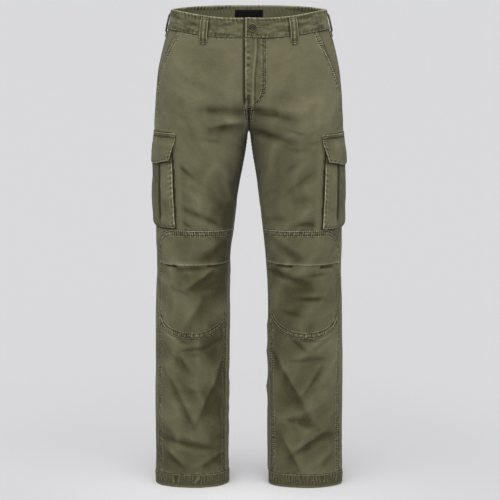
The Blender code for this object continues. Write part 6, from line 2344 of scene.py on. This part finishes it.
class TROUSERS_OT_waistband(bpy.types.Operator):
    """Waistband, its facing and the bare label"""

    bl_idname = "trousers.waistband"
    bl_label = "Waistband"

    def execute(self, context):
        trim = context.scene.trousers_trim
        make_band(cloth_finish(context))
        make_facing(cloth_finish(context, inside=True))
        make_label(satin_material("woven_satin_label", trim.label, trim.label_edge))
        return {"FINISHED"}


class TROUSERS_OT_belt_loops(bpy.types.Operator):
    """Five belt loops"""

    bl_idname = "trousers.belt_loops"
    bl_label = "Belt loops"

    def execute(self, context):
        make_loops(cloth_finish(context))
        return {"FINISHED"}


class TROUSERS_OT_fly(bpy.types.Operator):
    """Lapped fly, zip tape and metal button"""

    bl_idname = "trousers.fly"
    bl_label = "Fly and button"

    def execute(self, context):
        trim = context.scene.trousers_trim
        make_fly(cloth_finish(context))
        make_zip(cloth_finish(context, inside=True))
        make_button(metal_material("antiqued_brass", trim.metal, trim.metal_rubbed))
        return {"FINISHED"}


class TROUSERS_OT_hand_pockets(bpy.types.Operator):
    """Facings and bags of the slash pockets"""

    bl_idname = "trousers.hand_pockets"
    bl_label = "Hand pockets"

    def execute(self, context):
        for side in SIDES:
            make_hand_pocket(side, cloth_finish(context))
        return {"FINISHED"}


class TROUSERS_OT_cargo_pockets(bpy.types.Operator):
    """Bellows pockets and their flaps"""

    bl_idname = "trousers.cargo_pockets"
    bl_label = "Cargo pockets"

    def execute(self, context):
        for side in SIDES:
            make_pocket(side, cloth_finish(context))
            make_flap(side, cloth_finish(context))
        return {"FINISHED"}


class TROUSERS_OT_sewing(bpy.types.Operator):
    """Rows of stitches, bar tacks and the buttonhole"""

    bl_idname = "trousers.sewing"
    bl_label = "Sewing"

    def execute(self, context):
        sewing = context.scene.trousers_sewing
        finish = thread_finish(context)
        size = (sewing.length, sewing.width, sewing.width)
        lift = sewing.width * STITCH_PROUD
        for side, name in SIDE_NAMES.items():
            rows = stitch_rows(leg_lines(side) + hem_lines(side), lift, sewing.pitch)
            stitch_mesh("leg_stitches_" + name, rows, size, finish)
            rows = stitch_rows(pocket_lines(side) + flap_lines(side), lift, sewing.pitch)
            stitch_mesh("pocket_stitches_" + name, rows, size, finish)
        rows = stitch_rows(band_lines() + fly_lines(), lift, sewing.pitch)
        rows += stitch_rows(loop_lines(), lift - LOOP_STITCH_SUNK, sewing.pitch)
        stitch_mesh("waist_stitches", rows, size, finish)
        stitch_mesh("bar_tacks", tack_places(), TACK_SIZE, finish)
        stitch_mesh("buttonhole", [buttonhole_places()], BUTTONHOLE_STITCH, finish)
        return {"FINISHED"}


class TROUSERS_PT_panel(bpy.types.Panel):
    """Lists the pieces of the trousers"""

    bl_idname = "TROUSERS_PT_panel"
    bl_label = "Trousers"
    bl_space_type = "VIEW_3D"
    bl_region_type = "UI"
    bl_category = "Trousers"

    def draw(self, context):
        for operator in OPERATORS:
            self.layout.operator(operator.bl_idname)
        for name in PROPERTY_GROUPS:
            settings = getattr(context.scene, name)
            for item in settings.bl_rna.properties:
                if not item.is_readonly and item.identifier != "name":
                    self.layout.prop(settings, item.identifier)


PROPERTY_GROUPS = {
    "trousers_cloth": TrousersCloth,
    "trousers_sewing": TrousersSewing,
    "trousers_trim": TrousersTrim,
    "trousers_studio": TrousersStudio,
}
OPERATORS = (
    TROUSERS_OT_stage,
    TROUSERS_OT_fronts,
    TROUSERS_OT_backs,
    TROUSERS_OT_hems,
    TROUSERS_OT_waistband,
    TROUSERS_OT_belt_loops,
    TROUSERS_OT_fly,
    TROUSERS_OT_hand_pockets,
    TROUSERS_OT_cargo_pockets,
    TROUSERS_OT_sewing,
)


def register():
    for name, group in PROPERTY_GROUPS.items():
        bpy.utils.register_class(group)
        setattr(bpy.types.Scene, name, bpy.props.PointerProperty(type=group))
    for operator in OPERATORS:
        bpy.utils.register_class(operator)
    bpy.utils.register_class(TROUSERS_PT_panel)


def unregister():
    bpy.utils.unregister_class(TROUSERS_PT_panel)
    for operator in reversed(OPERATORS):
        bpy.utils.unregister_class(operator)
    for name, group in PROPERTY_GROUPS.items():
        delattr(bpy.types.Scene, name)
        bpy.utils.unregister_class(group)


def main():
    register()
    for operator in OPERATORS:
        family, action = operator.bl_idname.split(".")
        if getattr(getattr(bpy.ops, family), action)() != {"FINISHED"}:
            raise RuntimeError(f"{operator.bl_label} did not finish")
    bpy.context.view_layer.update()


if __name__ == "__main__":
    main()
